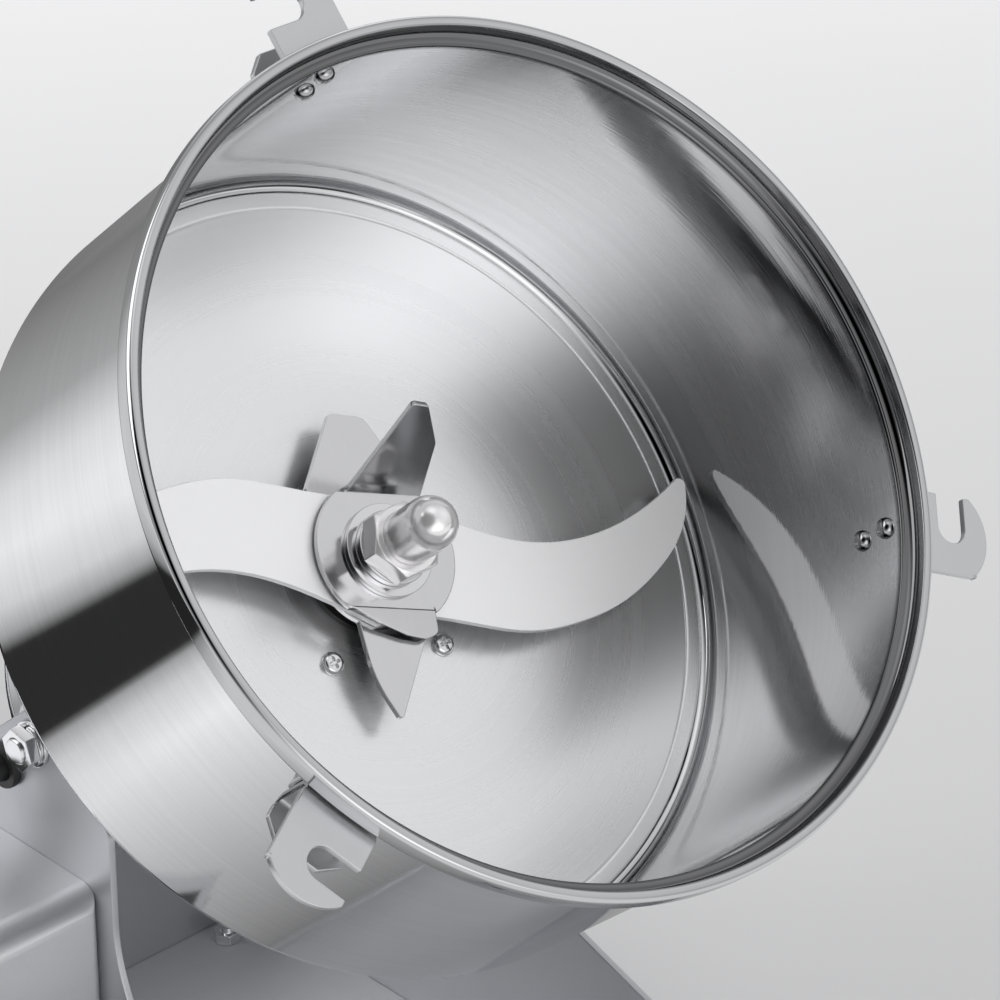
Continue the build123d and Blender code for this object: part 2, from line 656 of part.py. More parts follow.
with BuildPart() as upper_blade:
    with BuildSketch(turned_plane(UPPER_BLADE_END, BLADE_ANGLE)):
        Circle(HUB_R)
        Rectangle(2 * BEND_U, 2 * HUB_R, mode=Mode.INTERSECT)
        Circle(THREAD_R + FIT, mode=Mode.SUBTRACT)
    extrude(amount=BLADE_T)
    with BuildSketch(bent_plane(BLADE_ANGLE, WING_SLOPE)):
        with BuildLine():
            FilletPolyline(*WING_OUTLINE, radius=(0, 4.0, 1.2, 1.2, 3.0, 4.0, 0), close=True)
        make_face()
    extrude(amount=BLADE_T)
    with BuildSketch(bent_plane(BLADE_ANGLE + 180, LIP_SLOPE)):
        with BuildLine():
            FilletPolyline(*LIP_OUTLINE, radius=(0, 12.0, 10.0, 4.0, 1.5, 0), close=True)
        make_face()
    extrude(amount=BLADE_T)
save(upper_blade, "upper_blade")

with BuildPart() as blade_washer:
    with BuildSketch(level(FLAT_WASHER_END)):
        Circle(11.6)
        Circle(THREAD_R + FIT, mode=Mode.SUBTRACT)
    extrude(amount=FLAT_WASHER_END - SPRING_WASHER_END)
    fillet(blade_washer.edges().filter_by(GeomType.CIRCLE).sort_by(DRUM_AXIS)[-1:], 0.3)
save(blade_washer, "blade_washer")

with BuildPart() as blade_spring_washer:
    with BuildSketch(level(SPRING_WASHER_END)):
        Circle(9.3)
        Circle(THREAD_R + FIT, mode=Mode.SUBTRACT)
        with Locations(Location((7.5, 0, 0), (0, 0, 25))):
            Rectangle(7, 0.9, mode=Mode.SUBTRACT)
    extrude(amount=SPRING_WASHER_END - NUT_END)
save(blade_spring_washer, "blade_spring_washer")

NUT_CORNER_R = NUT_FLATS / 2 / math.cos(math.pi / 6)
with BuildPart() as cap_nut:
    with BuildSketch(level(NUT_END)):
        RegularPolygon(NUT_CORNER_R, 6)
    extrude(amount=NUT_END - NUT_HEX_TOP)
    # cones turn the corners of the hexagon off
    with BuildSketch(PROFILE):
        with BuildLine():
            Polyline(
                *profile((0, NUT_HEX_TOP), (8.2, NUT_HEX_TOP), (11.5, NUT_HEX_TOP + 1.9),
                         (11.5, NUT_END), (0, NUT_END)),
                close=True,
            )
        make_face()
    revolve(axis=DRUM_AXIS, mode=Mode.INTERSECT)
    with BuildSketch(PROFILE):
        with BuildLine():
            edge = profile((0, NUT_DOME - NUT_NECK_R), (NUT_NECK_R, NUT_DOME))
            foot = profile((NUT_NECK_R, NUT_HEX_TOP + 1), (0, NUT_HEX_TOP + 1))
            RadiusArc(edge[0], edge[1], NUT_NECK_R)
            Polyline(edge[1], foot[0], foot[1], edge[0])
        make_face()
    revolve(axis=DRUM_AXIS)
    with BuildSketch(level(NUT_END)):
        Circle(THREAD_R + FIT)
    extrude(amount=NUT_END - 58, mode=Mode.SUBTRACT)
save(cap_nut, "cap_nut")

# ------------------------------------------------------------------ pivot
BOSS_R = 10.5
WASHER_T = 1.5
WASHER_GAP = 0.15
THRUST_WASHER_R = 8.5
PIVOT_WASHER_R = 6.0
SPRING_WASHER_R = 5.4
PIVOT_NUT_CORNER_R = 5.75
with BuildPart() as pivot_bosses:
    for sign in (-1, 1):
        with BuildSketch(SIDE.offset(sign * 40)):
            with Locations((0, PIVOT_Z)):
                Circle(BOSS_R)
        extrude(amount=sign * (SIDE_IN - WASHER_T - 40))
    with BuildSketch(level(TUBE_END)):
        Circle(TUBE_R + 0.01)
    extrude(amount=TUBE_END - FLANGE_END, mode=Mode.SUBTRACT)
    with BuildSketch(SIDE.offset(-SIDE_IN)):
        with Locations((0, PIVOT_Z)):
            Circle(STUD_R + FIT)
    extrude(amount=2 * SIDE_IN, mode=Mode.SUBTRACT)
save(pivot_bosses, "pivot_bosses")

with BuildPart() as thrust_washers:
    for sign in (-1, 1):
        with BuildSketch(SIDE.offset(sign * (SIDE_IN - WASHER_T))):
            with Locations((0, PIVOT_Z)):
                Circle(THRUST_WASHER_R)
                Circle(STUD_R + FIT, mode=Mode.SUBTRACT)
        extrude(amount=sign * (WASHER_T - WASHER_GAP))
save(thrust_washers, "thrust_washers")

OUT = SIDE_IN + SHEET + WASHER_GAP         # first washer face outside each upright
LEFT_STACK = (1.0, 1.2, 3.0)               # flat washer, spring washer, thin nut
STUD_END = OUT + sum(LEFT_STACK) + 0.7
with BuildPart() as pivot_stud:
    with BuildSketch(SIDE.offset(-50)):
        with Locations((0, PIVOT_Z)):
            Circle(STUD_R)
    extrude(amount=-(STUD_END - 50))
    fillet(pivot_stud.faces().sort_by(Axis.X)[0].edges(), 0.4)
save(pivot_stud, "pivot_stud")

with BuildPart() as pivot_washer:
    with BuildSketch(SIDE.offset(-OUT)):
        with Locations((0, PIVOT_Z)):
            Circle(PIVOT_WASHER_R)
            Circle(STUD_R + FIT, mode=Mode.SUBTRACT)
    extrude(amount=-LEFT_STACK[0])
save(pivot_washer, "pivot_washer")

with BuildPart() as pivot_spring_washer:
    with BuildSketch(SIDE.offset(-(OUT + LEFT_STACK[0]))):
        with Locations((0, PIVOT_Z)):
            Circle(SPRING_WASHER_R)
            Circle(STUD_R + FIT, mode=Mode.SUBTRACT)
        with Locations(Location((0, PIVOT_Z + 4.5, 0), (0, 0, 70))):
            Rectangle(4, 0.8, mode=Mode.SUBTRACT)
    extrude(amount=-LEFT_STACK[1])
save(pivot_spring_washer, "pivot_spring_washer")

with BuildPart() as pivot_nut:
    with BuildSketch(SIDE.offset(-(OUT + LEFT_STACK[0] + LEFT_STACK[1]))):
        with Locations(Location((0, PIVOT_Z, 0), (0, 0, 12))):
            RegularPolygon(PIVOT_NUT_CORNER_R, 6)
            Circle(STUD_R + FIT, mode=Mode.SUBTRACT)
    extrude(amount=-LEFT_STACK[2])
save(pivot_nut, "pivot_nut")

# right end: a longer stud with a lobed clamping knob
KNOB_IN = OUT + 0.2
KNOB_H = 13.0
KNOB_R = 17.0
LOBES = 6
LOBE_R = 4.0
COLLAR = (9.0, 4.0)                        # radius and height of the knob's collar
with BuildPart() as lock_stud:
    with BuildSketch(SIDE.offset(50)):
        with Locations((0, PIVOT_Z)):
            Circle(STUD_R)
    extrude(amount=KNOB_IN + 9 - 50)
save(lock_stud, "lock_stud")

with BuildPart() as lock_knob:
    with BuildSketch(SIDE.offset(KNOB_IN)):
        with Locations((0, PIVOT_Z)):
            Circle(COLLAR[0])
    extrude(amount=COLLAR[1])
    with BuildSketch(SIDE.offset(KNOB_IN + 3)):
        with Locations((0, PIVOT_Z)):
            Circle(KNOB_R - 3)
            with PolarLocations(KNOB_R - LOBE_R, LOBES):
                Circle(LOBE_R)
            with PolarLocations(KNOB_R + 0.5, LOBES, start_angle=180 / LOBES):
                Circle(4.2, mode=Mode.SUBTRACT)
    extrude(amount=KNOB_H - 3)
    fillet(lock_knob.faces().sort_by(Axis.X)[-1].edges(), 1.6)
    with BuildSketch(SIDE.offset(KNOB_IN)):
        with Locations((0, PIVOT_Z)):
            Circle(STUD_R + FIT)
    extrude(amount=10, mode=Mode.SUBTRACT)
save(lock_knob, "lock_knob")

# ------------------------------------------------------------------ stand
flare_y = ARM_HALF + FLARE_R
edge_angle = math.atan(EDGE_SLOPE)
FLARE_END = (flare_y - FLARE_R * math.sin(edge_angle), WAIST_Z - FLARE_R * math.cos(edge_angle))
mid_angle = edge_angle / 2 + math.radians(35)          # any angle between the arc's two ends
FLARE_MID = (flare_y - FLARE_R * math.cos(mid_angle), WAIST_Z - FLARE_R * math.sin(mid_angle))
GROMMET = (11.5, 144.5)                     # hole for the motor lead, from the pivot in y
GROMMET_HOLE_R = 4.5
ARM_CORNER_R = 6.0
PLATE_CORNER_R = 8.0
REAR_END = REAR_Y + SHEET


def edge_height(y):
    """Height of the sloping top edge of a side plate at a distance from the pivot."""
    return FLARE_END[1] - EDGE_SLOPE * (y - FLARE_END[0])


for label, sign in (("left", -1), ("right", 1)):
    with BuildPart() as side_plate:
        with BuildSketch(SIDE.offset(sign * SIDE_IN)):
            with BuildLine():
                Polyline((-ARM_HALF, WAIST_Z), (-ARM_HALF, SHOULDER_Z), (0, APEX_Z),
                         (ARM_HALF, SHOULDER_Z), (ARM_HALF, WAIST_Z))
                ThreePointArc((ARM_HALF, WAIST_Z), FLARE_MID, FLARE_END)
                Polyline(FLARE_END, (REAR_END, edge_height(REAR_END)), (REAR_END, FOOT_H),
                         (FRONT_Y, FOOT_H), (FRONT_Y, edge_height(-FRONT_Y)),
                         (-FLARE_END[0], FLARE_END[1]))
                ThreePointArc((-FLARE_END[0], FLARE_END[1]), (-FLARE_MID[0], FLARE_MID[1]),
                              (-ARM_HALF, WAIST_Z))
            make_face()
        extrude(amount=sign * SHEET)
        tall = side_plate.edges().filter_by(Axis.X).sort_by(Axis.Z)
        fillet(tall[-1], ARM_CORNER_R)
        tall = side_plate.edges().filter_by(Axis.X).sort_by(Axis.Z)
        shoulders = [e for e in tall if abs(e.center().Z - SHOULDER_Z) < 0.01]
        fillet(shoulders, ARM_CORNER_R)
        front_top = [e for e in side_plate.edges().filter_by(Axis.X)
                     if abs(e.center().Y - PIVOT_Y - FRONT_Y) < 0.01 and e.center().Z > FOOT_H + 1]
        fillet(front_top, PLATE_CORNER_R)
        with BuildSketch(SIDE.offset(sign * (SIDE_IN - 1))):
            with Locations((0, PIVOT_Z)):
                Circle(STUD_R + FIT)
            if sign < 0:
                with Locations(GROMMET):
                    Circle(GROMMET_HOLE_R)
        extrude(amount=sign * (SHEET + 2), mode=Mode.SUBTRACT)
    save(side_plate, f"side_plate_{label}")

# folded tray: flat plate with its front edge turned up
with BuildPart() as base_tray:
    with BuildSketch(BASE.offset(FOOT_H)):
        with Locations((0, (FRONT_Y + REAR_END) / 2)):
            Rectangle(2 * SIDE_IN, REAR_END - FRONT_Y)
        with Locations(*FEET[:4]):
            Circle(FOOT_SCREW_HOLE_R, mode=Mode.SUBTRACT)
    extrude(amount=PLATE_TOP - FOOT_H)
    with BuildSketch(BASE.offset(FOOT_H)):
        with Locations((0, FRONT_Y + SHEET / 2)):
            Rectangle(2 * SIDE_IN, SHEET)
    extrude(amount=FRONT_WALL_Z - FOOT_H)
    front_fold = [e for e in base_tray.edges().filter_by(Axis.X)
                  if abs(e.center().Y - PIVOT_Y - FRONT_Y) < 0.01 and e.center().Z < PLATE_TOP]
    fillet(front_fold, SHEET)
save(base_tray, "base_tray")

with BuildPart() as rear_wall:
    with BuildSketch(BASE.offset(PLATE_TOP)):
        with Locations((0, (REAR_Y + REAR_END) / 2)):
            Rectangle(2 * SIDE_IN, REAR_END - REAR_Y)
    extrude(amount=REAR_WALL_Z - PLATE_TOP)
save(rear_wall, "rear_wall")

# ------------------------------------------------------------------ control box
BOX_OUT = -(SIDE_IN + SHEET) - BOX_W        # outer side of the box, from the middle
BOX_MID = (BOX_OUT - (SIDE_IN + SHEET)) / 2
BOX_MID_Y = (BOX_FRONT + BOX_REAR) / 2
BOX_LENGTH = BOX_REAR - BOX_FRONT
TIMER_HOLE_R = 5.0
SWITCH_SIZE = (13.0, 19.0)
RESET_HOLE_R = 6.0
GLAND_R = 8.0
BOX_FOLD_R = 7.0                            # bend between the lid and the front
BOX_CORNER_R = 3.5                          # upright corners
BOX_SIDE_R = 4.5                            # bend between the lid and the outer side


def box_form(inset):
    """Folded box with its bends, or the hollow at an inset from it."""
    top = BOX_TOP - inset
    front, rear = BOX_FRONT + inset, BOX_REAR - inset
    outer, inner = BOX_OUT + inset, BOX_OUT + BOX_W - inset
    fold = BOX_FOLD_R - inset
    side_fold = BOX_SIDE_R - inset
    with BuildPart() as form:
        with BuildSketch(BASE.offset(PLATE_TOP)):
            with Locations(((outer + inner) / 2, (front + rear) / 2)):
                RectangleRounded(inner - outer, rear - front, BOX_CORNER_R - inset)
        extrude(amount=top - PLATE_TOP)
        with BuildSketch(SIDE.offset(BOX_OUT - 1)):
            with BuildLine():
                FilletPolyline((front, PLATE_TOP), (rear, PLATE_TOP), (rear, top), (front, top),
                               radius=(0, 0, 0, fold), close=True)
            make_face()
        extrude(amount=BOX_W + 2, mode=Mode.INTERSECT)
        with BuildSketch(PANEL.offset(1)):
            with BuildLine():
                FilletPolyline((outer, PLATE_TOP), (inner, PLATE_TOP), (inner, top), (outer, top),
                               radius=(0, 0, 0, side_fold), close=True)
            make_face()
        extrude(amount=-(BOX_LENGTH + 2), mode=Mode.INTERSECT)
    return form.part


box_outside = box_form(0)
box_hollow = box_form(BOX_T)
with BuildPart() as control_box:
    add(box_outside)
    add(box_hollow, mode=Mode.SUBTRACT)
    with BuildSketch(PANEL):
        with Locations((TIMER_X, TIMER_Z)):
            Circle(TIMER_HOLE_R)
        with Locations(SWITCH):
            Rectangle(*SWITCH_SIZE)
        with Locations(RESET):
            Circle(RESET_HOLE_R)
    extrude(amount=-BOX_T, mode=Mode.SUBTRACT)
    with BuildSketch(BACK):
        with Locations((-TIMER_X, GLAND_Z)):
            Circle(GLAND_R)
    extrude(amount=-BOX_T, mode=Mode.SUBTRACT)
    with BuildSketch(BASE.offset(BOX_TOP + 1)):
        with Locations(LEAD_END):
            Circle(4.5)
    extrude(amount=-4, mode=Mode.SUBTRACT)
save(control_box, "control_box")

with BuildPart() as box_floor:
    with BuildSketch(BASE.offset(FOOT_H)):
        with Locations((BOX_MID, BOX_MID_Y)):
            RectangleRounded(BOX_W - 0.6, BOX_LENGTH - 0.6, 2)
        with Locations(*FEET[4:]):
            Circle(FOOT_SCREW_HOLE_R, mode=Mode.SUBTRACT)
    extrude(amount=PLATE_TOP - FOOT_H)
save(box_floor, "box_floor")

# timer: body inside, pointer knob outside on its spindle
SPINDLE_R = 3.0
TIMER_BODY = (38.0, 28.0)                   # side and depth
with BuildPart() as timer_body:
    with BuildSketch(PANEL.offset(-BOX_T)):
        with Locations((TIMER_X, TIMER_Z)):
            RectangleRounded(TIMER_BODY[0], TIMER_BODY[0], 3)
    extrude(amount=-TIMER_BODY[1])
    with BuildSketch(PANEL.offset(-BOX_T)):
        with Locations((TIMER_X, TIMER_Z)):
            Circle(TIMER_HOLE_R - 0.1)
    extrude(amount=BOX_T)
    with BuildSketch(PANEL):
        with Locations((TIMER_X, TIMER_Z)):
            Circle(SPINDLE_R + FIT)
    extrude(amount=-12, mode=Mode.SUBTRACT)
save(timer_body, "timer_body")

with BuildPart() as timer_spindle:
    with BuildSketch(PANEL.offset(-11)):
        with Locations((TIMER_X, TIMER_Z)):
            Circle(SPINDLE_R)
    extrude(amount=22)
save(timer_spindle, "timer_spindle")

KNOB_GAP = 1.0
TIMER_KNOB_R = 17.0
TIMER_GRIP_R = 13.0
TIMER_FLANGE_H = 3.0
with BuildPart() as timer_knob:
    with BuildSketch(PANEL.offset(KNOB_GAP)):
        with Locations((TIMER_X, TIMER_Z)):
            Circle(TIMER_KNOB_R)
    extrude(amount=TIMER_FLANGE_H)
    with BuildSketch(PANEL.offset(KNOB_GAP + TIMER_FLANGE_H)):
        with Locations((TIMER_X, TIMER_Z)):
            Circle(TIMER_GRIP_R)
    extrude(amount=13, taper=4)
    fillet(timer_knob.faces().sort_by(Axis.Y)[0].edges(), 1.5)
    # finger grips left and right of a raised bar
    with BuildSketch(PANEL.offset(KNOB_GAP + 6)):
        for side in (-1, 1):
            with Locations((TIMER_X + side * 9.5, TIMER_Z)):
                Rectangle(10, 30)
    extrude(amount=11, mode=Mode.SUBTRACT)
    with BuildSketch(PANEL.offset(KNOB_GAP)):
        with Locations((TIMER_X, TIMER_Z)):
            Circle(SPINDLE_R)
    extrude(amount=10, mode=Mode.SUBTRACT)
save(timer_knob, "timer_knob")

# rocker switch
with BuildPart() as switch_frame:
    with BuildSketch(PANEL):
        with Locations(SWITCH):
            RectangleRounded(SWITCH_SIZE[0] + 2, SWITCH_SIZE[1] + 2, 1)
            Rectangle(SWITCH_SIZE[0] - 2, SWITCH_SIZE[1] - 2, mode=Mode.SUBTRACT)
    extrude(amount=1.6)
    with BuildSketch(PANEL):
        with Locations(SWITCH):
            Rectangle(SWITCH_SIZE[0] - 0.2, SWITCH_SIZE[1] - 0.2)
            Rectangle(SWITCH_SIZE[0] - 2, SWITCH_SIZE[1] - 2, mode=Mode.SUBTRACT)
    extrude(amount=-9)
    with BuildSketch(PANEL.offset(-9)):
        with Locations(SWITCH):
            Rectangle(SWITCH_SIZE[0] - 0.2, SWITCH_SIZE[1] - 0.2)
    extrude(amount=-12)
    with BuildSketch(PANEL.offset(-21)):
        with Locations((SWITCH[0], SWITCH[1] - 5), (SWITCH[0], SWITCH[1] + 5)):
            Rectangle(6.3, 0.8)
    extrude(amount=-7)
save(switch_frame, "switch_frame")

ROCKER_AXIS_Y = 2.0                         # rocker axis behind the panel
rocker_plane = Plane(origin=(MILL_X + SWITCH[0], PIVOT_Y + BOX_FRONT + ROCKER_AXIS_Y, SWITCH[1]),
                     x_dir=(0, 1, 0), z_dir=(1, 0, 0))
with BuildPart() as switch_rocker:
    with BuildSketch(rocker_plane):
        with BuildLine():
            tilt = math.radians(ROCK)
            tips = [(-5.2, -7.6), (-4.0, 0), (-5.2, 7.6), (2.5, 7.0), (4.5, 3.0), (4.5, -3.0),
                    (2.5, -7.0)]
            turned = [(x * math.cos(tilt) - y * math.sin(tilt),
                       x * math.sin(tilt) + y * math.cos(tilt)) for x, y in tips]
            Spline(turned[0], turned[1], turned[2])
            Polyline(*turned[2:], turned[0])
        make_face()
    extrude(amount=(SWITCH_SIZE[0] - 3) / 2, both=True)
save(switch_rocker, "switch_rocker")

# overload reset: breaker body inside, button in a threaded collar outside
RESET_TRAVEL = 3.0
with BuildPart() as breaker_body:
    with BuildSketch(PANEL.offset(-BOX_T)):
        with Locations(RESET):
            RectangleRounded(15, 28, 2)
    extrude(amount=-24)
    with BuildSketch(PANEL.offset(-BOX_T)):
        with Locations(RESET):
            Circle(RESET_HOLE_R - 0.1)
    extrude(amount=BOX_T + 4)
    with BuildSketch(PANEL):
        with Locations(RESET):
            RegularPolygon(8.5, 6)
    extrude(amount=2)
    with BuildSketch(PANEL.offset(4)):
        with Locations(RESET):
            Circle(4.0)
    extrude(amount=-10, mode=Mode.SUBTRACT)
save(breaker_body, "breaker_body")

with BuildPart() as reset_button:
    with BuildSketch(PANEL.offset(-2.5)):
        with Locations(RESET):
            Circle(3.6)
    extrude(amount=2.5 + 4 + RESET_TRAVEL + 1)
    fillet(reset_button.faces().sort_by(Axis.Y)[0].edges(), 0.8)
save(reset_button, "reset_button")

# mains inlet: cable gland with a through bore for the cord
GLAND_NUT_R = 11.5
GLAND_CAP = (9.5, 15.0)                     # radius and height of the cap
with BuildPart() as cable_gland:
    with BuildSketch(BACK):
        with Locations((-TIMER_X, GLAND_Z)):
            RegularPolygon(GLAND_NUT_R, 6)
    extrude(amount=5)
    with BuildSketch(BACK.offset(5)):
        with Locations((-TIMER_X, GLAND_Z)):
            Circle(GLAND_CAP[0])
    extrude(amount=GLAND_CAP[1], taper=6)
    with BuildSketch(BACK):
        with Locations((-TIMER_X, GLAND_Z)):
            Circle(GLAND_R - 0.1)
    extrude(amount=-BOX_T - 8)
    with BuildSketch(BACK.offset(-BOX_T)):
        with Locations((-TIMER_X, GLAND_Z)):
            RegularPolygon(GLAND_NUT_R, 6)
    extrude(amount=-4)
    with BuildSketch(BACK.offset(21)):
        with Locations((-TIMER_X, GLAND_Z)):
            Circle(CORD_R)
    extrude(amount=-40, mode=Mode.SUBTRACT)
save(cable_gland, "cable_gland")

BLOCK_X = BOX_MID + 6
BLOCK_Y = 28.0
BLOCK_LENGTH = 46.0
POLE_PITCH = 11.0
with BuildPart() as terminal_block:
    with BuildSketch(BASE.offset(PLATE_TOP)):
        with Locations((BLOCK_X, BLOCK_Y)):
            Rectangle(22, BLOCK_LENGTH)
    extrude(amount=5)
    with BuildSketch(BASE.offset(PLATE_TOP + 5)):
        with Locations((BLOCK_X, BLOCK_Y)):
            Rectangle(16, BLOCK_LENGTH)
    extrude(amount=9)
    with BuildSketch(BASE.offset(PLATE_TOP + 14)):
        for row in range(4):
            pole_y = BLOCK_Y + POLE_PITCH * (row - 1.5)
            with Locations((BLOCK_X - 3, pole_y), (BLOCK_X + 3, pole_y)):
                Circle(1.9)
    extrude(amount=-6, mode=Mode.SUBTRACT)
save(terminal_block, "terminal_block")

# ------------------------------------------------------------------ motor lead
LEAD_R = 3.5
GROMMET_LIP_R = 5.9
GROMMET_NECK_R = 4.45
LEAD_IN = 6.0                               # length of lead inside the upright
lead_start = Vector(MILL_X - SIDE_IN + LEAD_IN, PIVOT_Y + GROMMET[0], GROMMET[1])
lead_end = Vector(MILL_X + LEAD_END[0], PIVOT_Y + LEAD_END[1], BOX_TOP - 8)
LEAD_BEND = 14.0
with BuildPart() as motor_lead:
    with BuildLine() as lead_path:
        FilletPolyline(lead_start, (lead_end.X, lead_start.Y, lead_start.Z), lead_end,
                       radius=LEAD_BEND)
    with BuildSketch(Plane(origin=lead_start, z_dir=(-1, 0, 0))):
        Circle(LEAD_R)
    sweep(path=lead_path.line)
save(motor_lead, "motor_lead")

with BuildPart() as lead_grommets:
    for place in (
        Plane(origin=(lead_start.X - LEAD_IN, lead_start.Y, lead_start.Z), z_dir=(-1, 0, 0)),
        Plane(origin=(lead_end.X, lead_end.Y, BOX_TOP - BOX_T), z_dir=(0, 0, 1)),
    ):
        sheet = SHEET if place.z_dir.X < -0.5 else BOX_T
        for start, height, radius in (
            (-1.4, 1.4, GROMMET_LIP_R), (0, sheet, GROMMET_NECK_R), (sheet, 2.2, GROMMET_LIP_R)
        ):
            with BuildSketch(place.offset(start)):
                Circle(radius)
                Circle(LEAD_R + FIT, mode=Mode.SUBTRACT)
            extrude(amount=height)
save(lead_grommets, "lead_grommets")

# ------------------------------------------------------------------ feet
with BuildPart() as foot:
    with BuildSketch():
        Circle(FOOT_R)
    extrude(amount=FOOT_H, taper=-6)
    fillet(foot.faces().sort_by(Axis.Z)[0].edges(), 1.0)
    with BuildSketch():
        Circle(FOOT_RECESS[0])
    extrude(amount=FOOT_RECESS[1], mode=Mode.SUBTRACT)
    with BuildSketch():
        Circle(FOOT_SCREW_HOLE_R)
    extrude(amount=FOOT_H, mode=Mode.SUBTRACT)
foot_places = [Plane(origin=(MILL_X + x, PIVOT_Y + y, 0)) for x, y in FEET]
save_copies(foot, foot_places, "rubber_feet")

FOOT_SCREW_R = 2.0
FOOT_SCREW_HEAD = (4.0, 2.0)       # radius and height
FOOT_NUT = (4.0, 3.2)              # corner radius and height
with BuildPart() as foot_screw:
    with BuildSketch(Plane.XY.offset(FOOT_RECESS[1] - FOOT_SCREW_HEAD[1])):
        Circle(FOOT_SCREW_HEAD[0])
    extrude(amount=FOOT_SCREW_HEAD[1])
    with BuildSketch(Plane.XY.offset(FOOT_RECESS[1])):
        Circle(FOOT_SCREW_R)
    extrude(amount=PLATE_TOP + FOOT_NUT[1] + 1.3 - FOOT_RECESS[1])
    with BuildSketch(Plane.XY.offset(PLATE_TOP)):
        RegularPolygon(FOOT_NUT[0], 6)
    extrude(amount=FOOT_NUT[1])
save_copies(foot_screw, foot_places, "foot_screws")
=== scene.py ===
import json
import math

import bmesh
import bpy
from mathutils import Matrix, Vector


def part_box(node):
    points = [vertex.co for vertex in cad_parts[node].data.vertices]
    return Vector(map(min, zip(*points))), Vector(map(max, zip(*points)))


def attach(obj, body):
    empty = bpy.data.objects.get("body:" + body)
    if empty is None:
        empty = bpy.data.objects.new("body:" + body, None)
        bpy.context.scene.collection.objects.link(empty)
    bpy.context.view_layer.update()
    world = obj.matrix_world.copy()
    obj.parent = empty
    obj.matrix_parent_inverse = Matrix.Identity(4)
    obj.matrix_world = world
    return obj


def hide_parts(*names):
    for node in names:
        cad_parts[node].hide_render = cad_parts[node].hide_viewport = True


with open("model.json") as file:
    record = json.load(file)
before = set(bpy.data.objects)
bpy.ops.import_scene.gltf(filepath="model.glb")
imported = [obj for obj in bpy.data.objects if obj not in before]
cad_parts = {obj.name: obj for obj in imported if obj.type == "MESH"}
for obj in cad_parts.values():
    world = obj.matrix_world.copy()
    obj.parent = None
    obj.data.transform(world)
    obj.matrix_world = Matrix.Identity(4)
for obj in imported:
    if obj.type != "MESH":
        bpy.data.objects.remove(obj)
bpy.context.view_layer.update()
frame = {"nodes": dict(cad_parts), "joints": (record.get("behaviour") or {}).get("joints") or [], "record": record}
bpy.ops.object.select_all(action="DESELECT")

mm = 0.001   # in metres

# places that everything below is measured from
joints = {joint["name"]: joint for joint in frame["joints"]}
pivot = Vector(joints["drum_tilt"]["pos_m"])
drumAxis = Vector(joints["rotor_spin"]["axis"]).normalized()
across = Vector((1, 0, 0))
uphill = drumAxis.cross(across)
lean = math.acos(drumAxis.z)
rimToPivot = 0.150
rimCentre = pivot + drumAxis * rimToPivot
drumFrame = Matrix((across, uphill, drumAxis)).transposed().to_4x4()
drumFrame.translation = rimCentre
bodies = frame["record"]["behaviour"]["bodies"]
bodyOf = {node: body for body, nodes in bodies.items() for node in nodes}
print("frame loaded, the drum leans", round(math.degrees(lean), 1), "degrees")

camera = {
    "lens": 162.0,
    "sensor": 36.0,
    "clip": (0.01, 60.0),
    "place": Vector((-0.6195, -0.6323, 0.4730)),   # from the rim's centre
    "right": Vector((0.7232, -0.6906, 0.0)),
    "up": Vector((0.3328, 0.3485, 0.8762)),
}
bpy.ops.object.camera_add(location=rimCentre + camera["place"])
cameraObject = bpy.context.object
cameraObject.data.lens = camera["lens"]
cameraObject.data.sensor_width = camera["sensor"]
cameraObject.data.clip_start, cameraObject.data.clip_end = camera["clip"]
backwards = camera["right"].cross(camera["up"])
cameraTurn = Matrix((camera["right"], camera["up"], backwards)).transposed()
cameraObject.rotation_euler = cameraTurn.to_euler()
bpy.context.scene.camera = cameraObject
bpy.context.scene.view_settings.view_transform = "Standard"
print("camera set")


# a socket of a material, with arithmetic that adds Math nodes
class Link:
    def __init__(self, tree, socket=None):
        self.tree = tree
        self.socket = socket

    def make(self, kind, settings=None, inputs=None, output=0):
        node = self.tree.nodes.new(kind)
        for key, value in (settings or {}).items():
            if key == "stops":
                ramp = node.color_ramp
                while len(ramp.elements) < len(value):
                    ramp.elements.new(0.5)
                for element, (position, shade) in zip(ramp.elements, value):
                    element.position = position
                    element.color = (shade, shade, shade, 1)
            else:
                setattr(node, key, value)
        for key, value in (inputs or {}).items():
            if isinstance(value, Link):
                self.tree.links.new(value.socket, node.inputs[key])
            else:
                node.inputs[key].default_value = value
        return Link(self.tree, node.outputs[output])

    def maths(self, operation, first, second=0.0):
        return self.make("ShaderNodeMath", {"operation": operation}, {0: first, 1: second})

    def __add__(self, other):
        return self.maths("ADD", self, other)

    def __sub__(self, other):
        return self.maths("SUBTRACT", self, other)

    def __rsub__(self, other):
        return self.maths("SUBTRACT", other, self)

    def __mul__(self, other):
        return self.maths("MULTIPLY", self, other)

    def __pow__(self, other):
        return self.maths("POWER", self, other)

    __radd__ = __add__
    __rmul__ = __mul__


def feed(shader, name, link):
    link.tree.links.new(link.socket, shader.inputs[name])


# goes from the first level to the second while the value goes from the first limit to the second
def mapped(value, limits, levels, smooth=False):
    settings = {"interpolation_type": "SMOOTHSTEP"} if smooth else {}
    return value.make("ShaderNodeMapRange", settings, {
        0: value, 1: limits[0], 2: limits[1], 3: levels[0], 4: levels[1]})


# a place's x, y and z
def split(place):
    parts = place.make("ShaderNodeSeparateXYZ", {}, {0: place})
    return [Link(place.tree, output) for output in parts.socket.node.outputs]


def radiusOf(first, second):
    return (first * first + second * second) ** 0.5


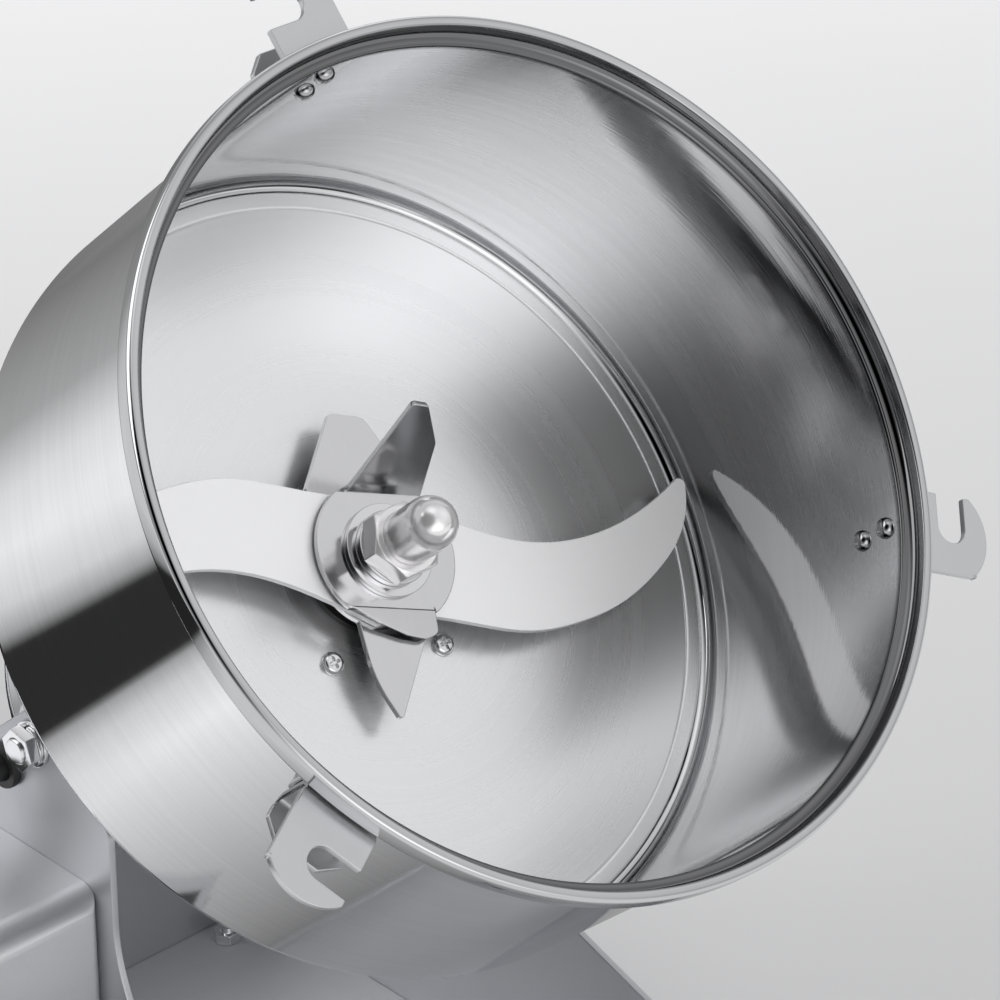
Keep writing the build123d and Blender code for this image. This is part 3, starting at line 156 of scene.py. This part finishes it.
def newFinish(name, colour, metallic, roughness, coat=0.0):
    material = bpy.data.materials.new(name)
    material.use_nodes = True
    shader = material.node_tree.nodes["Principled BSDF"]
    shader.inputs["Base Color"].default_value = (*colour, 1)
    shader.inputs["Metallic"].default_value = metallic
    shader.inputs["Roughness"].default_value = roughness
    shader.inputs["Coat Weight"].default_value = coat
    spot = Link(material.node_tree).make("ShaderNodeTexCoord", output="Object")
    return material, shader, spot


# the same point measured in the drum's own frame: z up its axis from the rim, x and y across
def inDrum(spot):
    return spot.make("ShaderNodeMapping", {"vector_type": "TEXTURE"},
                     {"Vector": spot, "Location": rimCentre, "Rotation": (lean, 0, 0)})


# noise from 0 to 1 with so many cells a metre along x, y and z
def stretched(spot, stretch, detail=3.0):
    scaled = spot.make("ShaderNodeMapping", {"vector_type": "POINT"}, {"Vector": spot, "Scale": stretch})
    return scaled.make("ShaderNodeTexNoise", {}, {"Vector": scaled, "Scale": 1.0, "Detail": detail})


def cloudy(spot, cells, detail=2.0):
    return stretched(spot, (cells, cells, cells), detail)


# the colour where the mask is 1, darker by the depth where it is 0
def shaded(shader, colour, mask, depth):
    dark = tuple(part * (1 - depth) for part in colour) + (1,)
    blend = mask.make("ShaderNodeMix", {"data_type": "RGBA"}, {0: mask, 6: dark, 7: (*colour, 1)}, 2)
    feed(shader, "Base Color", blend)


def bumped(shader, height, distance, strength=1.0):
    bump = height.make("ShaderNodeBump", {}, {
        "Height": height, "Distance": distance, "Strength": strength})
    feed(shader, "Normal", bump)


spunSteel = {
    "colour": (0.88, 0.885, 0.90),
    "outside": 0.06,            # roughness of the polished outside
    "inside": 0.05,             # and of the inside
    "uneven": 0.03,             # how far the roughness wanders
    "wall": 99.8,               # radius of the middle of the wall, in mm
    "blend": 0.4,               # the inside's finish has set in this far inside it
    "fine": (30, 30, 1400),     # lines around the wall, as noise cells a metre
    "broad": (12, 12, 420),
    "streaks": 0.1,             # share of each in the colour
    "groove": 0.009,            # depth of the fine lines in mm
    "polished": 0.1,            # share of that depth left on the outside
    "shade": 0.27,              # painted shade: how much darker the inside is
    "lip": (-7.0, -5.0),        # the lip sets in between these heights, in mm from the rim
    "dull": 0.34,               # how much darker it is: partly duller steel, partly painted shade
    "edge": (102.2, 102.8),     # the step for the lid ends between these radii in mm
    "step": 0.45,               # and is this much darker than the lip: painted shade in the step
}


def makeSpunSteel():
    material, shader, spot = newFinish("spunSteel", spunSteel["colour"], 1.0, spunSteel["outside"])
    place = inDrum(spot)
    side, upper, height = split(place)
    radius = radiusOf(side, upper)
    wall = spunSteel["wall"] * mm
    inside = mapped(radius, (wall, wall - spunSteel["blend"] * mm), (0.0, 1.0))
    lip = mapped(height, [limit * mm for limit in spunSteel["lip"]], (0.0, 1.0), smooth=True)
    # painted shade in the step for the lid, darker still than the lip
    step = mapped(radius, [limit * mm for limit in spunSteel["edge"]], (spunSteel["step"], 0.0))
    fine = stretched(place, spunSteel["fine"])
    broad = stretched(place, spunSteel["broad"], 2.0)
    share = spunSteel["streaks"]
    streaks = share * fine + share * broad + (1 - 2 * share)
    # the lip is darker: partly duller steel, partly painted shade, with more painted shade in the step
    lipShade = 1.0 - lip * (step + spunSteel["dull"])
    # painted shade: the inside of the bowl is darker than the outside
    paintedInsideShade = 1.0 - inside * spunSteel["shade"]
    shaded(shader, spunSteel["colour"], streaks * lipShade * paintedInsideShade, 1.0)
    spread = (spunSteel["inside"] - spunSteel["outside"]) * inside + spunSteel["outside"]
    feed(shader, "Roughness", spread + (broad - 0.5) * spunSteel["uneven"])
    polished = spunSteel["polished"]
    bumped(shader, fine * (inside * (1 - polished) + polished), spunSteel["groove"] * mm)
    return material


# in the finishes below, lines and cells are noise cells a metre, depth is how much darker
# the colour gets, height is the bump's in mm, and uneven is how far the roughness wanders
ringed = {
    "around": 6,              # cells along the rings
    "broad": (240, 3, 3),     # cells of the broader bands, outwards and along
    "uneven": 0.10,
}


# rings about the drum's axis
def makeDiscSteel(name, colour, roughness, lines, depth=0.10, height=0.003, metallic=1.0):
    material, shader, spot = newFinish(name, colour, metallic, roughness)
    place = inDrum(spot)
    side, upper, _ = split(place)
    rings = place.make("ShaderNodeCombineXYZ", {}, {0: radiusOf(side, upper), 1: side, 2: upper})
    fine = stretched(rings, (lines, ringed["around"], ringed["around"]))
    broad = stretched(rings, ringed["broad"], 2.0)
    shaded(shader, colour, 0.5 * fine + 0.5 * broad, depth)
    feed(shader, "Roughness", (broad - 0.5) * ringed["uneven"] + roughness)
    bumped(shader, fine, height * mm)
    return material


sheet = {
    "broad": 0.12,                # cells of the broad grain for each of the fine
    "cloud": 35,
    "shares": (0.4, 0.3, 0.3),    # of fine grain, broad grain and cloud in the colour
    "uneven": (0.08, 0.10),       # by fine grain and cloud
}


# sheet steel, with its grain along the way that has the fewest cells
def makeSheetSteel(name, colour, roughness, cells, leaning=False, depth=0.12, height=0.005, metallic=1.0):
    material, shader, spot = newFinish(name, colour, metallic, roughness)
    place = inDrum(spot) if leaning else spot
    fine = stretched(place, cells)
    broad = stretched(place, tuple(count * sheet["broad"] for count in cells), 2.0)
    cloud = cloudy(place, sheet["cloud"])
    fineShare, broadShare, cloudShare = sheet["shares"]
    shaded(shader, colour, fineShare * fine + broadShare * broad + cloudShare * cloud, depth)
    byFine, byCloud = sheet["uneven"]
    feed(shader, "Roughness", (cloud - 0.5) * byCloud + (fine - 0.5) * byFine + roughness)
    bumped(shader, fine, height * mm)
    return material


bright = {"cloud": 160, "depth": 0.10, "uneven": 0.12, "grain": 900, "height": 0.003}


# plated or turned hardware, faintly uneven
def makeBright(name, colour, roughness):
    material, shader, spot = newFinish(name, colour, 1.0, roughness)
    cloud = cloudy(spot, bright["cloud"], 3.0)
    shaded(shader, colour, cloud, bright["depth"])
    feed(shader, "Roughness", (cloud - 0.5) * bright["uneven"] + roughness)
    bumped(shader, cloudy(spot, bright["grain"]), bright["height"] * mm)
    return material


grained = {"cloud": 60, "depth": 0.22, "uneven": 0.14, "strength": 0.6}


# moulded or cast stuff with a fine grain all over
def makeGrained(name, colour, roughness, grain=2600, height=0.03, metallic=0.0):
    material, shader, spot = newFinish(name, colour, metallic, roughness)
    fine = cloudy(spot, grain)
    cloud = cloudy(spot, grained["cloud"])
    shaded(shader, colour, 0.5 * fine + 0.5 * cloud, grained["depth"])
    feed(shader, "Roughness", (cloud - 0.5) * grained["uneven"] + roughness)
    bumped(shader, fine, height * mm, grained["strength"])
    return material


# sheets packed along the drum's axis, or varnished wire wound along it
def makeLayered(name, colour, roughness, cells, depth, height, metallic=0.9, coat=0.0):
    material, shader, spot = newFinish(name, colour, metallic, roughness, coat)
    layers = stretched(inDrum(spot), cells, 1.0)
    shaded(shader, colour, layers, depth)
    bumped(shader, layers, height * mm)
    return material


finish = {
    # steel
    "spun": makeSpunSteel(),
    "disc": makeDiscSteel("discSteel", (0.88, 0.885, 0.89), 0.27, 3000, metallic=0.83),
    "turned": makeDiscSteel("turnedSteel", (0.72, 0.72, 0.73), 0.16, 1500, height=0.002),
    "nut": makeDiscSteel("nutSteel", (0.86, 0.85, 0.855), 0.16, 1500,
                         depth=0.08, height=0.001, metallic=0.62),
    "blade": makeSheetSteel("bladeSteel", (0.90, 0.90, 0.905), 0.36, (500, 500, 500), leaning=True,
                            depth=0.05, height=0.003, metallic=0.38),
    "smallBlade": makeSheetSteel("smallBladeSteel", (0.66, 0.66, 0.67), 0.15, (1500, 200, 200),
                                 leaning=True),
    "hook": makeSheetSteel("hookSteel", (0.60, 0.61, 0.62), 0.30, (500, 500, 500), leaning=True,
                           depth=0.08, height=0.001, metallic=0.90),
    "housing": makeSheetSteel("housingSteel", (0.62, 0.63, 0.65), 0.28, (30, 30, 1800), leaning=True),
    "upright": makeSheetSteel("uprightSteel", (0.58, 0.59, 0.61), 0.42, (1200, 1200, 25), metallic=0.85),
    "tray": makeSheetSteel("traySteel", (0.68, 0.69, 0.71), 0.40, (25, 1500, 1500), metallic=0.60),
    "box": makeSheetSteel("boxSteel", (0.78, 0.79, 0.81), 0.38, (1400, 25, 1400), metallic=0.75),
    "hardware": makeBright("brightHardware", (0.78, 0.78, 0.79), 0.13),
    # painted shade: the rivets are coloured darker than the other hardware of the same steel
    "rivet": makeBright("rivetSteelPaintedShade", (0.42, 0.42, 0.43), 0.10),
    "laminated": makeLayered("laminatedCore", (0.30, 0.31, 0.33), 0.45, (8, 8, 2000),
                             depth=0.45, height=0.02),
    # other metals
    "cast": makeGrained("castAluminium", (0.66, 0.67, 0.68), 0.42, 1200, 0.06, metallic=1.0),
    "copper": makeLayered("copperWinding", (0.70, 0.36, 0.18), 0.32, (1500, 1500, 140),
                          depth=0.5, height=0.08, coat=0.4),
    "brass": makeBright("brass", (0.78, 0.62, 0.30), 0.25),
    # the rest
    "carbon": makeGrained("carbon", (0.05, 0.05, 0.05), 0.60, 1800, 0.02),
    "rubber": makeGrained("blackRubber", (0.022, 0.022, 0.023), 0.48, 1500, 0.02),
    "plastic": makeGrained("blackPlastic", (0.035, 0.035, 0.038), 0.38),
    "whitePlastic": makeGrained("whitePlastic", (0.82, 0.82, 0.80), 0.40),
    "ink": makeGrained("dialInk", (0.05, 0.05, 0.055), 0.50, 3000, 0.01),
    "paint": makeGrained("whitePaint", (0.85, 0.85, 0.84), 0.45, 3000, 0.01),
}
print("finishes made:", len(finish))


def only(piece):
    if bpy.context.object and bpy.context.object.mode != "OBJECT":
        bpy.ops.object.mode_set(mode="OBJECT")
    bpy.ops.object.select_all(action="DESELECT")
    piece.select_set(True)
    bpy.context.view_layer.objects.active = piece


def modified(piece, kind, **settings):
    only(piece)
    bpy.ops.object.modifier_add(type=kind)
    modifier = piece.modifiers[-1]
    for key, value in settings.items():
        setattr(modifier, key, value)
    bpy.ops.object.modifier_apply(modifier=modifier.name)


# a finished piece gets its name and finish, and the body of the CAD node that it belongs to
def show(piece, name, node, material):
    piece.name = name
    piece.data.name = name
    piece.data.materials.clear()
    piece.data.materials.append(finish[material])
    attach(piece, bodyOf[node])


def smoothed(piece, degrees):
    only(piece)
    bpy.ops.object.shade_smooth_by_angle(angle=math.radians(degrees))


easing = {
    "merge": 0.002 * mm,             # corners closer than this become one
    "flat": math.radians(0.4),       # and so do faces that turn less than this
    "crease": math.radians(28.0),    # edges sharper than this are rounded
    "smooth": 35.0,
    "segments": 2,
    "weight": 50,
}


# a copy of a CAD node, made one skin again, with its sharp edges rounded off by so many mm
def eased(node, name, material, edge):
    piece = bpy.data.objects.new(name, frame["nodes"][node].data.copy())
    bpy.context.scene.collection.objects.link(piece)
    only(piece)
    bpy.ops.object.mode_set(mode="EDIT")
    bpy.ops.mesh.select_all(action="SELECT")
    bpy.ops.mesh.remove_doubles(threshold=easing["merge"])
    bpy.ops.mesh.customdata_custom_splitnormals_clear()
    bpy.ops.mesh.dissolve_limited(angle_limit=easing["flat"])
    bpy.ops.object.mode_set(mode="OBJECT")
    if edge:
        modified(piece, "BEVEL", width=edge * mm, segments=easing["segments"], limit_method="ANGLE",
                 angle_limit=easing["crease"], use_clamp_overlap=False, miter_outer="MITER_ARC")
    smoothed(piece, easing["smooth"])
    modified(piece, "WEIGHTED_NORMAL", keep_sharp=True, weight=easing["weight"])
    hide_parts(node)
    show(piece, name, node, material)


turning = {"steps": 288, "segments": 6, "merge": 0.004 * mm, "smooth": 30.0}


# a ring turned about the drum's axis from an outline of ((radius, depth), rounding) in mm
def spun(outline):
    bpy.ops.mesh.primitive_circle_add(vertices=len(outline), radius=0.1)
    piece = bpy.context.object
    spots = [Vector((radius * mm, 0, -depth * mm)) for (radius, depth), _ in outline]
    mesh = bmesh.new()
    mesh.from_mesh(piece.data)
    mesh.verts.ensure_lookup_table()
    for vertex, spot in zip(mesh.verts, spots):
        vertex.co = spot
    mesh.to_mesh(piece.data)
    mesh.free()
    roundings = [rounding for _, rounding in outline]
    for spot, rounding in sorted(zip(spots, roundings), key=lambda pair: pair[1]):
        if not rounding:
            continue
        bpy.ops.object.mode_set(mode="EDIT")
        bpy.ops.mesh.select_mode(type="VERT")
        bpy.ops.mesh.select_all(action="DESELECT")
        bpy.ops.object.mode_set(mode="OBJECT")
        nearest = min(piece.data.vertices, key=lambda vertex: (vertex.co - spot).length)
        nearest.select = True
        bpy.ops.object.mode_set(mode="EDIT")
        bpy.ops.mesh.bevel(offset=rounding * mm, affect="VERTICES",
                           segments=turning["segments"], profile=0.5)
    bpy.ops.object.mode_set(mode="EDIT")
    bpy.ops.mesh.select_all(action="SELECT")
    bpy.ops.mesh.spin(steps=turning["steps"], angle=math.tau, center=(0, 0, 0), axis=(0, 0, 1))
    bpy.ops.mesh.select_all(action="SELECT")
    bpy.ops.mesh.remove_doubles(threshold=turning["merge"])
    bpy.ops.mesh.normals_make_consistent(inside=False)
    bpy.ops.object.mode_set(mode="OBJECT")
    piece.data.transform(drumFrame)
    smoothed(piece, turning["smooth"])
    return piece


bowl = {
    "rim": 105.0,              # outside radius of the rolled lip
    "lip": 6.2,                # its height
    "seat": (102.3, 4.6),      # step that the lid drops into: radius and depth
    "outside": 100.4,
    "inside": 99.2,
    "bottom": (87.6, 89.0),    # depth of the bottom's upper and lower face
    "hole": 16.0,
    # roundings
    "mouth": 0.6,
    "roll": (1.2, 1.4),        # of the lip, above and below
    "neck": 0.4,               # under the lip
    "corner": (2.4, 3.6),      # between wall and bottom, inside and outside
    "cove": (2.2, 0.8),        # at the outer and the inner edge of the step
}


def makeBowlShell():
    seatRadius, seatDepth = bowl["seat"]
    top, under = bowl["bottom"]
    piece = spun((
        ((seatRadius, 0), bowl["mouth"]),
        ((bowl["rim"], 0), bowl["roll"][0]),
        ((bowl["rim"], bowl["lip"]), bowl["roll"][1]),
        ((bowl["outside"], bowl["lip"]), bowl["neck"]),
        ((bowl["outside"], under), bowl["corner"][1]),
        ((bowl["hole"], under), 0),
        ((bowl["hole"], top), 0),
        ((bowl["inside"], top), bowl["corner"][0]),
        ((bowl["inside"], seatDepth), bowl["cove"][1]),
        ((seatRadius, seatDepth), bowl["cove"][0]),
    ))
    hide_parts("bowl_shell")
    show(piece, "bowlShell", "bowl_shell", "spun")


floorDisc = {
    "radius": 96.7,
    "hole": 16.0,
    "top": 86.4,
    "under": 87.6,
    "groove": (92.4, 0.5, 0.18),    # shallow pressed ring near the edge: radius, half width, depth
    "soft": 0.2,                    # roundings of the groove and the hole
    "edge": 0.8,                    # and of the outer edge
}


def makeBowlFloor():
    top, under = floorDisc["top"], floorDisc["under"]
    ring, half, deep = floorDisc["groove"]
    soft = floorDisc["soft"]
    piece = spun((
        ((floorDisc["hole"], top), soft),
        ((ring - half, top), soft),
        ((ring, top + deep), soft),
        ((ring + half, top), soft),
        ((floorDisc["radius"], top), floorDisc["edge"]),
        ((floorDisc["radius"], under), 0),
        ((floorDisc["hole"], under), 0),
    ))
    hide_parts("bowl_floor")
    show(piece, "bowlFloor", "bowl_floor", "disc")


makeBowlShell()
makeBowlFloor()
print("bowl made")

marks = {
    "thick": 0.12 * mm,
    "sweep": 150.0,          # the dial runs this many degrees to both sides of the top
    "minutes": 60,
    "step": 5,               # minutes between its lines
    "numbered": 10,          # minutes between its numbers
    "short": ((19.0 * mm, 21.0 * mm), 0.3 * mm),    # a line's inner and outer radius, and its width
    "long": ((18.6 * mm, 21.4 * mm), 0.5 * mm),
    "numbers": 24.2 * mm,    # radius on which the numbers sit
    "height": 3.4 * mm,
    "pointer": (1.4 * mm, 8.0 * mm),    # width and length of the knob's pointer
    "pointerOut": 6.5 * mm,             # its middle, from the knob's
}


# marks lie on a face that looks towards -y, and are placed by x and z
def barMark(centre, size, face, turn=0.0):
    bpy.ops.mesh.primitive_cube_add(size=1.0)
    piece = bpy.context.object
    shape = Matrix.Diagonal((size[0], marks["thick"], size[1], 1))
    place = Matrix.Translation((centre[0], face, centre[1]))
    piece.data.transform(place @ Matrix.Rotation(turn, 4, "Y") @ shape)
    return piece


def numberMark(text, centre, face):
    bpy.ops.object.text_add()
    letters = bpy.context.object
    letters.data.body = text
    letters.data.size = marks["height"]
    letters.data.align_x = "CENTER"
    letters.data.align_y = "CENTER"
    letters.data.extrude = marks["thick"] / 2
    bpy.ops.object.convert(target="MESH")
    piece = bpy.context.object
    place = Matrix.Translation((centre[0], face, centre[1]))
    piece.data.transform(place @ Matrix.Rotation(math.pi / 2, 4, "X"))
    return piece


def joined(pieces):
    only(pieces[0])
    for piece in pieces[1:]:
        piece.select_set(True)
    bpy.ops.object.join()
    return bpy.context.object


# x and z of a node's middle
def middleOf(node):
    low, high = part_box(node)
    return Vector(((low[0] + high[0]) / 2, (low[2] + high[2]) / 2))


def makeTimerDial():
    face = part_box("control_box")[0][1]
    middle = middleOf("timer_spindle")
    pieces = []
    for minute in range(0, marks["minutes"] + 1, marks["step"]):
        turn = math.radians(marks["sweep"] * (2 * minute / marks["minutes"] - 1))
        outwards = Vector((math.sin(turn), math.cos(turn)))
        numbered = minute % marks["numbered"] == 0
        (inner, outer), width = marks["long" if numbered else "short"]
        centre = middle + outwards * (inner + outer) / 2
        pieces.append(barMark(centre, (width, outer - inner), face, turn))
        if numbered:
            pieces.append(numberMark(str(minute), middle + outwards * marks["numbers"], face))
    show(joined(pieces), "timerDial", "control_box", "ink")


def makePointer():
    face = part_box("timer_knob")[0][1]
    centre = middleOf("timer_knob") + Vector((0, marks["pointerOut"]))
    show(barMark(centre, marks["pointer"], face), "timerPointer", "timer_knob", "paint")


makeTimerDial()
makePointer()
print("marks made")

# the other pieces that show: finish, and how far the edges are rounded, in mm
plainPieces = {
    "floor_screws": ("hardware", 0.15),
    "latch_hook_1": ("hook", 0.40),
    "latch_hook_2": ("hook", 0.40),
    "latch_hook_3": ("hook", 0.40),
    "hook_rivets": ("rivet", 0),
    "long_blade": ("blade", 0.35),
    "lower_blade": ("smallBlade", 0.25),
    "upper_blade": ("smallBlade", 0.25),
    "blade_spacer": ("turned", 0.10),
    "blade_washer": ("turned", 0.20),
    "blade_spring_washer": ("turned", 0.35),
    "cap_nut": ("nut", 0.20),
    "shaft_slinger": ("turned", 0.20),
    "upper_bracket": ("cast", 0.40),
    "motor_housing": ("housing", 0.30),
    "bottom_cover": ("housing", 0.25),
    "cover_screws": ("hardware", 0.20),
    "pivot_bosses": ("hook", 0.40),
    "thrust_washers": ("whitePlastic", 0.20),
    "pivot_stud": ("hardware", 0.20),
    "pivot_washer": ("hardware", 0.20),
    "pivot_spring_washer": ("hardware", 0.30),
    "pivot_nut": ("hardware", 0.30),
    "lock_stud": ("hardware", 0.20),
    "lock_knob": ("plastic", 0.70),
    "base_tray": ("tray", 0.30),
    "side_plate_left": ("upright", 0.40),
    "side_plate_right": ("upright", 0.40),
    "rear_wall": ("upright", 0.40),
    "control_box": ("box", 0.20),
    "box_floor": ("box", 0.30),
    "switch_frame": ("plastic", 0.40),
    "switch_rocker": ("plastic", 0.50),
    "breaker_body": ("plastic", 0.30),
    "reset_button": ("plastic", 0.20),
    "timer_knob": ("plastic", 0.50),
    "timer_spindle": ("hardware", 0.20),
    "cable_gland": ("plastic", 0.50),
    "lead_grommets": ("rubber", 0.50),
    "motor_lead": ("rubber", 0),
    "rubber_feet": ("rubber", 0.50),
    "foot_screws": ("hardware", 0.30),
}
for node, (material, edge) in plainPieces.items():
    words = node.split("_")
    eased(node, words[0] + "".join(word.title() for word in words[1:]), material, edge)
print("plain pieces made:", len(plainPieces))

# inner pieces keep the CAD mesh and only get their finish
innerPieces = {
    "shaft_seal": "rubber",
    "upper_bearing": "hardware",
    "lower_bearing": "hardware",
    "stator_core": "laminated",
    "field_windings": "copper",
    "lower_bracket": "cast",
    "brush_holders": "brass",
    "carbon_brushes": "carbon",
    "brush_springs": "brass",
    "motor_shaft": "hardware",
    "armature_core": "laminated",
    "armature_windings": "copper",
    "commutator": "brass",
    "cooling_fan": "plastic",
    "timer_body": "plastic",
    "terminal_block": "whitePlastic",
}
for node, material in innerPieces.items():
    inner = frame["nodes"][node]
    if not inner.material_slots:
        inner.data.materials.append(None)
    for materialSlot in inner.material_slots:
        materialSlot.material = finish[material]
print("inner pieces finished:", len(innerPieces))

stage = {
    "radius": 14.0,
    "sides": 96,
    "colour": (0.97, 0.97, 0.975),
    "roughness": 0.9,
    "specular": 0.1,
    # seen directly, the floor has painted shade nearby and is paler towards the back right
    "slant": 0.707,          # share of right and of back in that direction
    "fade": (0.15, 1.0),     # it gets paler between these distances from the middle
    "darker": 0.38,          # how much painted shade darkens it before them
    "patchy": 0.1,           # share of noise in that
    "patches": 3,            # cells a metre of that noise
    "haze": 0.20,            # painted glow, added for camera rays where the floor is palest
    # polished steel sees a painted glow on the floor: a black strip across it, as (distance behind the middle,
    # level), less light to the right, as (angle, level), and painted shade close to the stand
    "strip": ((-0.50, 1.0), (0.05, 1.0), (0.12, 1.0), (0.18, 0.72), (0.213, 0.40), (0.222, 0.03),
              (0.40, 0.03), (0.44, 0.42), (0.52, 0.76), (0.70, 0.98), (1.0, 1.0)),
    "fan": ((-40, 1.0), (-19, 1.0), (-11, 0.85), (0, 0.42), (24, 0.20), (60, 0.45), (110, 1.0)),
    "near": (0.06, 0.25),
    "nearLevel": 0.22,
}


def makeStage():
    bpy.ops.mesh.primitive_circle_add(vertices=stage["sides"], radius=stage["radius"], fill_type="NGON")
    floor = bpy.context.object
    floor.name = "studioFloor"
    material, shader, spot = newFinish("studioFloor", stage["colour"], 0.0, stage["roughness"])
    shader.inputs["Specular IOR Level"].default_value = stage["specular"]
    side, ahead, _ = split(spot)

    # painted shade: the floor is coloured darker nearby and paler towards the back right
    backRight = (side + ahead) * stage["slant"]
    paler = mapped(backRight, stage["fade"], (0.0, 1 - stage["patchy"]))
    patches = stage["patchy"] * cloudy(spot, stage["patches"])
    shaded(shader, stage["colour"], patches + paler, stage["darker"])
    # painted glow: camera rays see the floor brighter where it is palest
    direct = paler.make("ShaderNodeLightPath", output="Is Camera Ray")
    haze = direct * paler * stage["haze"]
    feed(shader, "Emission Color", haze.make("ShaderNodeCombineColor", {}, {0: haze, 1: haze, 2: haze}))
    shader.inputs["Emission Strength"].default_value = 1.0

    # painted reflection: glossy rays see the floor as a glow with a black strip, a fan, and painted shade near the
    # stand
    turn = side.maths("ARCTAN2", side, ahead) * (1 / math.tau) + 0.5
    fanStops = [((angle + 180) / 360, level) for angle, level in stage["fan"]]
    fan = turn.make("ShaderNodeValToRGB", {"stops": fanStops}, {0: turn})
    stripStops = [((place + 1) / 2, level) for place, level in stage["strip"]]
    strip = turn.make("ShaderNodeValToRGB", {"stops": stripStops}, {0: ahead * 0.5 + 0.5})
    near = mapped(radiusOf(side, ahead), stage["near"], (stage["nearLevel"], 1.0))
    glow = turn.make("ShaderNodeEmission", {}, {"Color": fan * strip * near, "Strength": 1.0})

    tree = material.node_tree
    mirrored = glow.make("ShaderNodeLightPath", output="Is Glossy Ray")
    mixed = glow.make("ShaderNodeMixShader", {}, {0: mirrored, 1: Link(tree, shader.outputs[0]), 2: glow})
    tree.links.new(mixed.socket, tree.nodes["Material Output"].inputs["Surface"])
    floor.data.materials.append(material)


makeStage()

studio = {
    "base": 0.42,    # soft light from all round
    "blue": 1.01,    # blue in it for each part of red and green
    # direction, narrowness and strength of each broad patch added to it
    "patches": (
        ((-0.21, -0.97, 0.07), 9.0, 1.75),
        ((0.00, -0.15, 0.99), 20.0, 0.85),
        ((0.57, -0.53, 0.63), 8.0, 0.50),
        ((0.61, 0.64, 0.47), 14.0, 1.10),
    ),
    # a round dark patch, from the cosine at its outer edge to the one where it is black
    "flag": {"towards": (-0.603, -0.392, 0.695), "edge": (0.766, 0.966)},
    # placed from the rim's centre, and turned towards it
    "lamps": (
        {"place": Vector((-0.95, 0.95, 1.15)), "size": 1.6, "power": 14.0, "mirrored": True},
        {"place": drumAxis * 0.60, "size": 0.24, "power": 1.95, "mirrored": False},
    ),
}


def makeLight():
    world = bpy.data.worlds.new("studio")
    bpy.context.scene.world = world
    world.use_nodes = True
    background = world.node_tree.nodes["Background"]
    direction = Link(world.node_tree).make("ShaderNodeTexCoord", output="Generated")

    def facing(towards):
        return direction.make("ShaderNodeVectorMath", {"operation": "DOT_PRODUCT"},
                              {0: direction, 1: Vector(towards).normalized()}, "Value")

    total = studio["base"]
    for towards, narrow, strength in studio["patches"]:
        seen = facing(towards)
        total = seen.maths("MAXIMUM", seen, 0.0) ** narrow * strength + total
    flag = studio["flag"]
    level = total * mapped(facing(flag["towards"]), flag["edge"], (1.0, 0.0), smooth=True)
    colour = level.make("ShaderNodeCombineColor", {}, {0: level, 1: level, 2: level * studio["blue"]})
    feed(background, "Color", colour)
    background.inputs["Strength"].default_value = 1.0
    for lamp in studio["lamps"]:
        bpy.ops.object.light_add(type="AREA", location=rimCentre + lamp["place"])
        light = bpy.context.object
        light.data.shape = "SQUARE"
        light.data.size = lamp["size"]
        light.data.energy = lamp["power"]
        light.visible_camera = False
        light.visible_glossy = lamp["mirrored"]
        light.rotation_euler = lamp["place"].to_track_quat("Z", "Y").to_euler()


makeLight()
print("stage and light set")
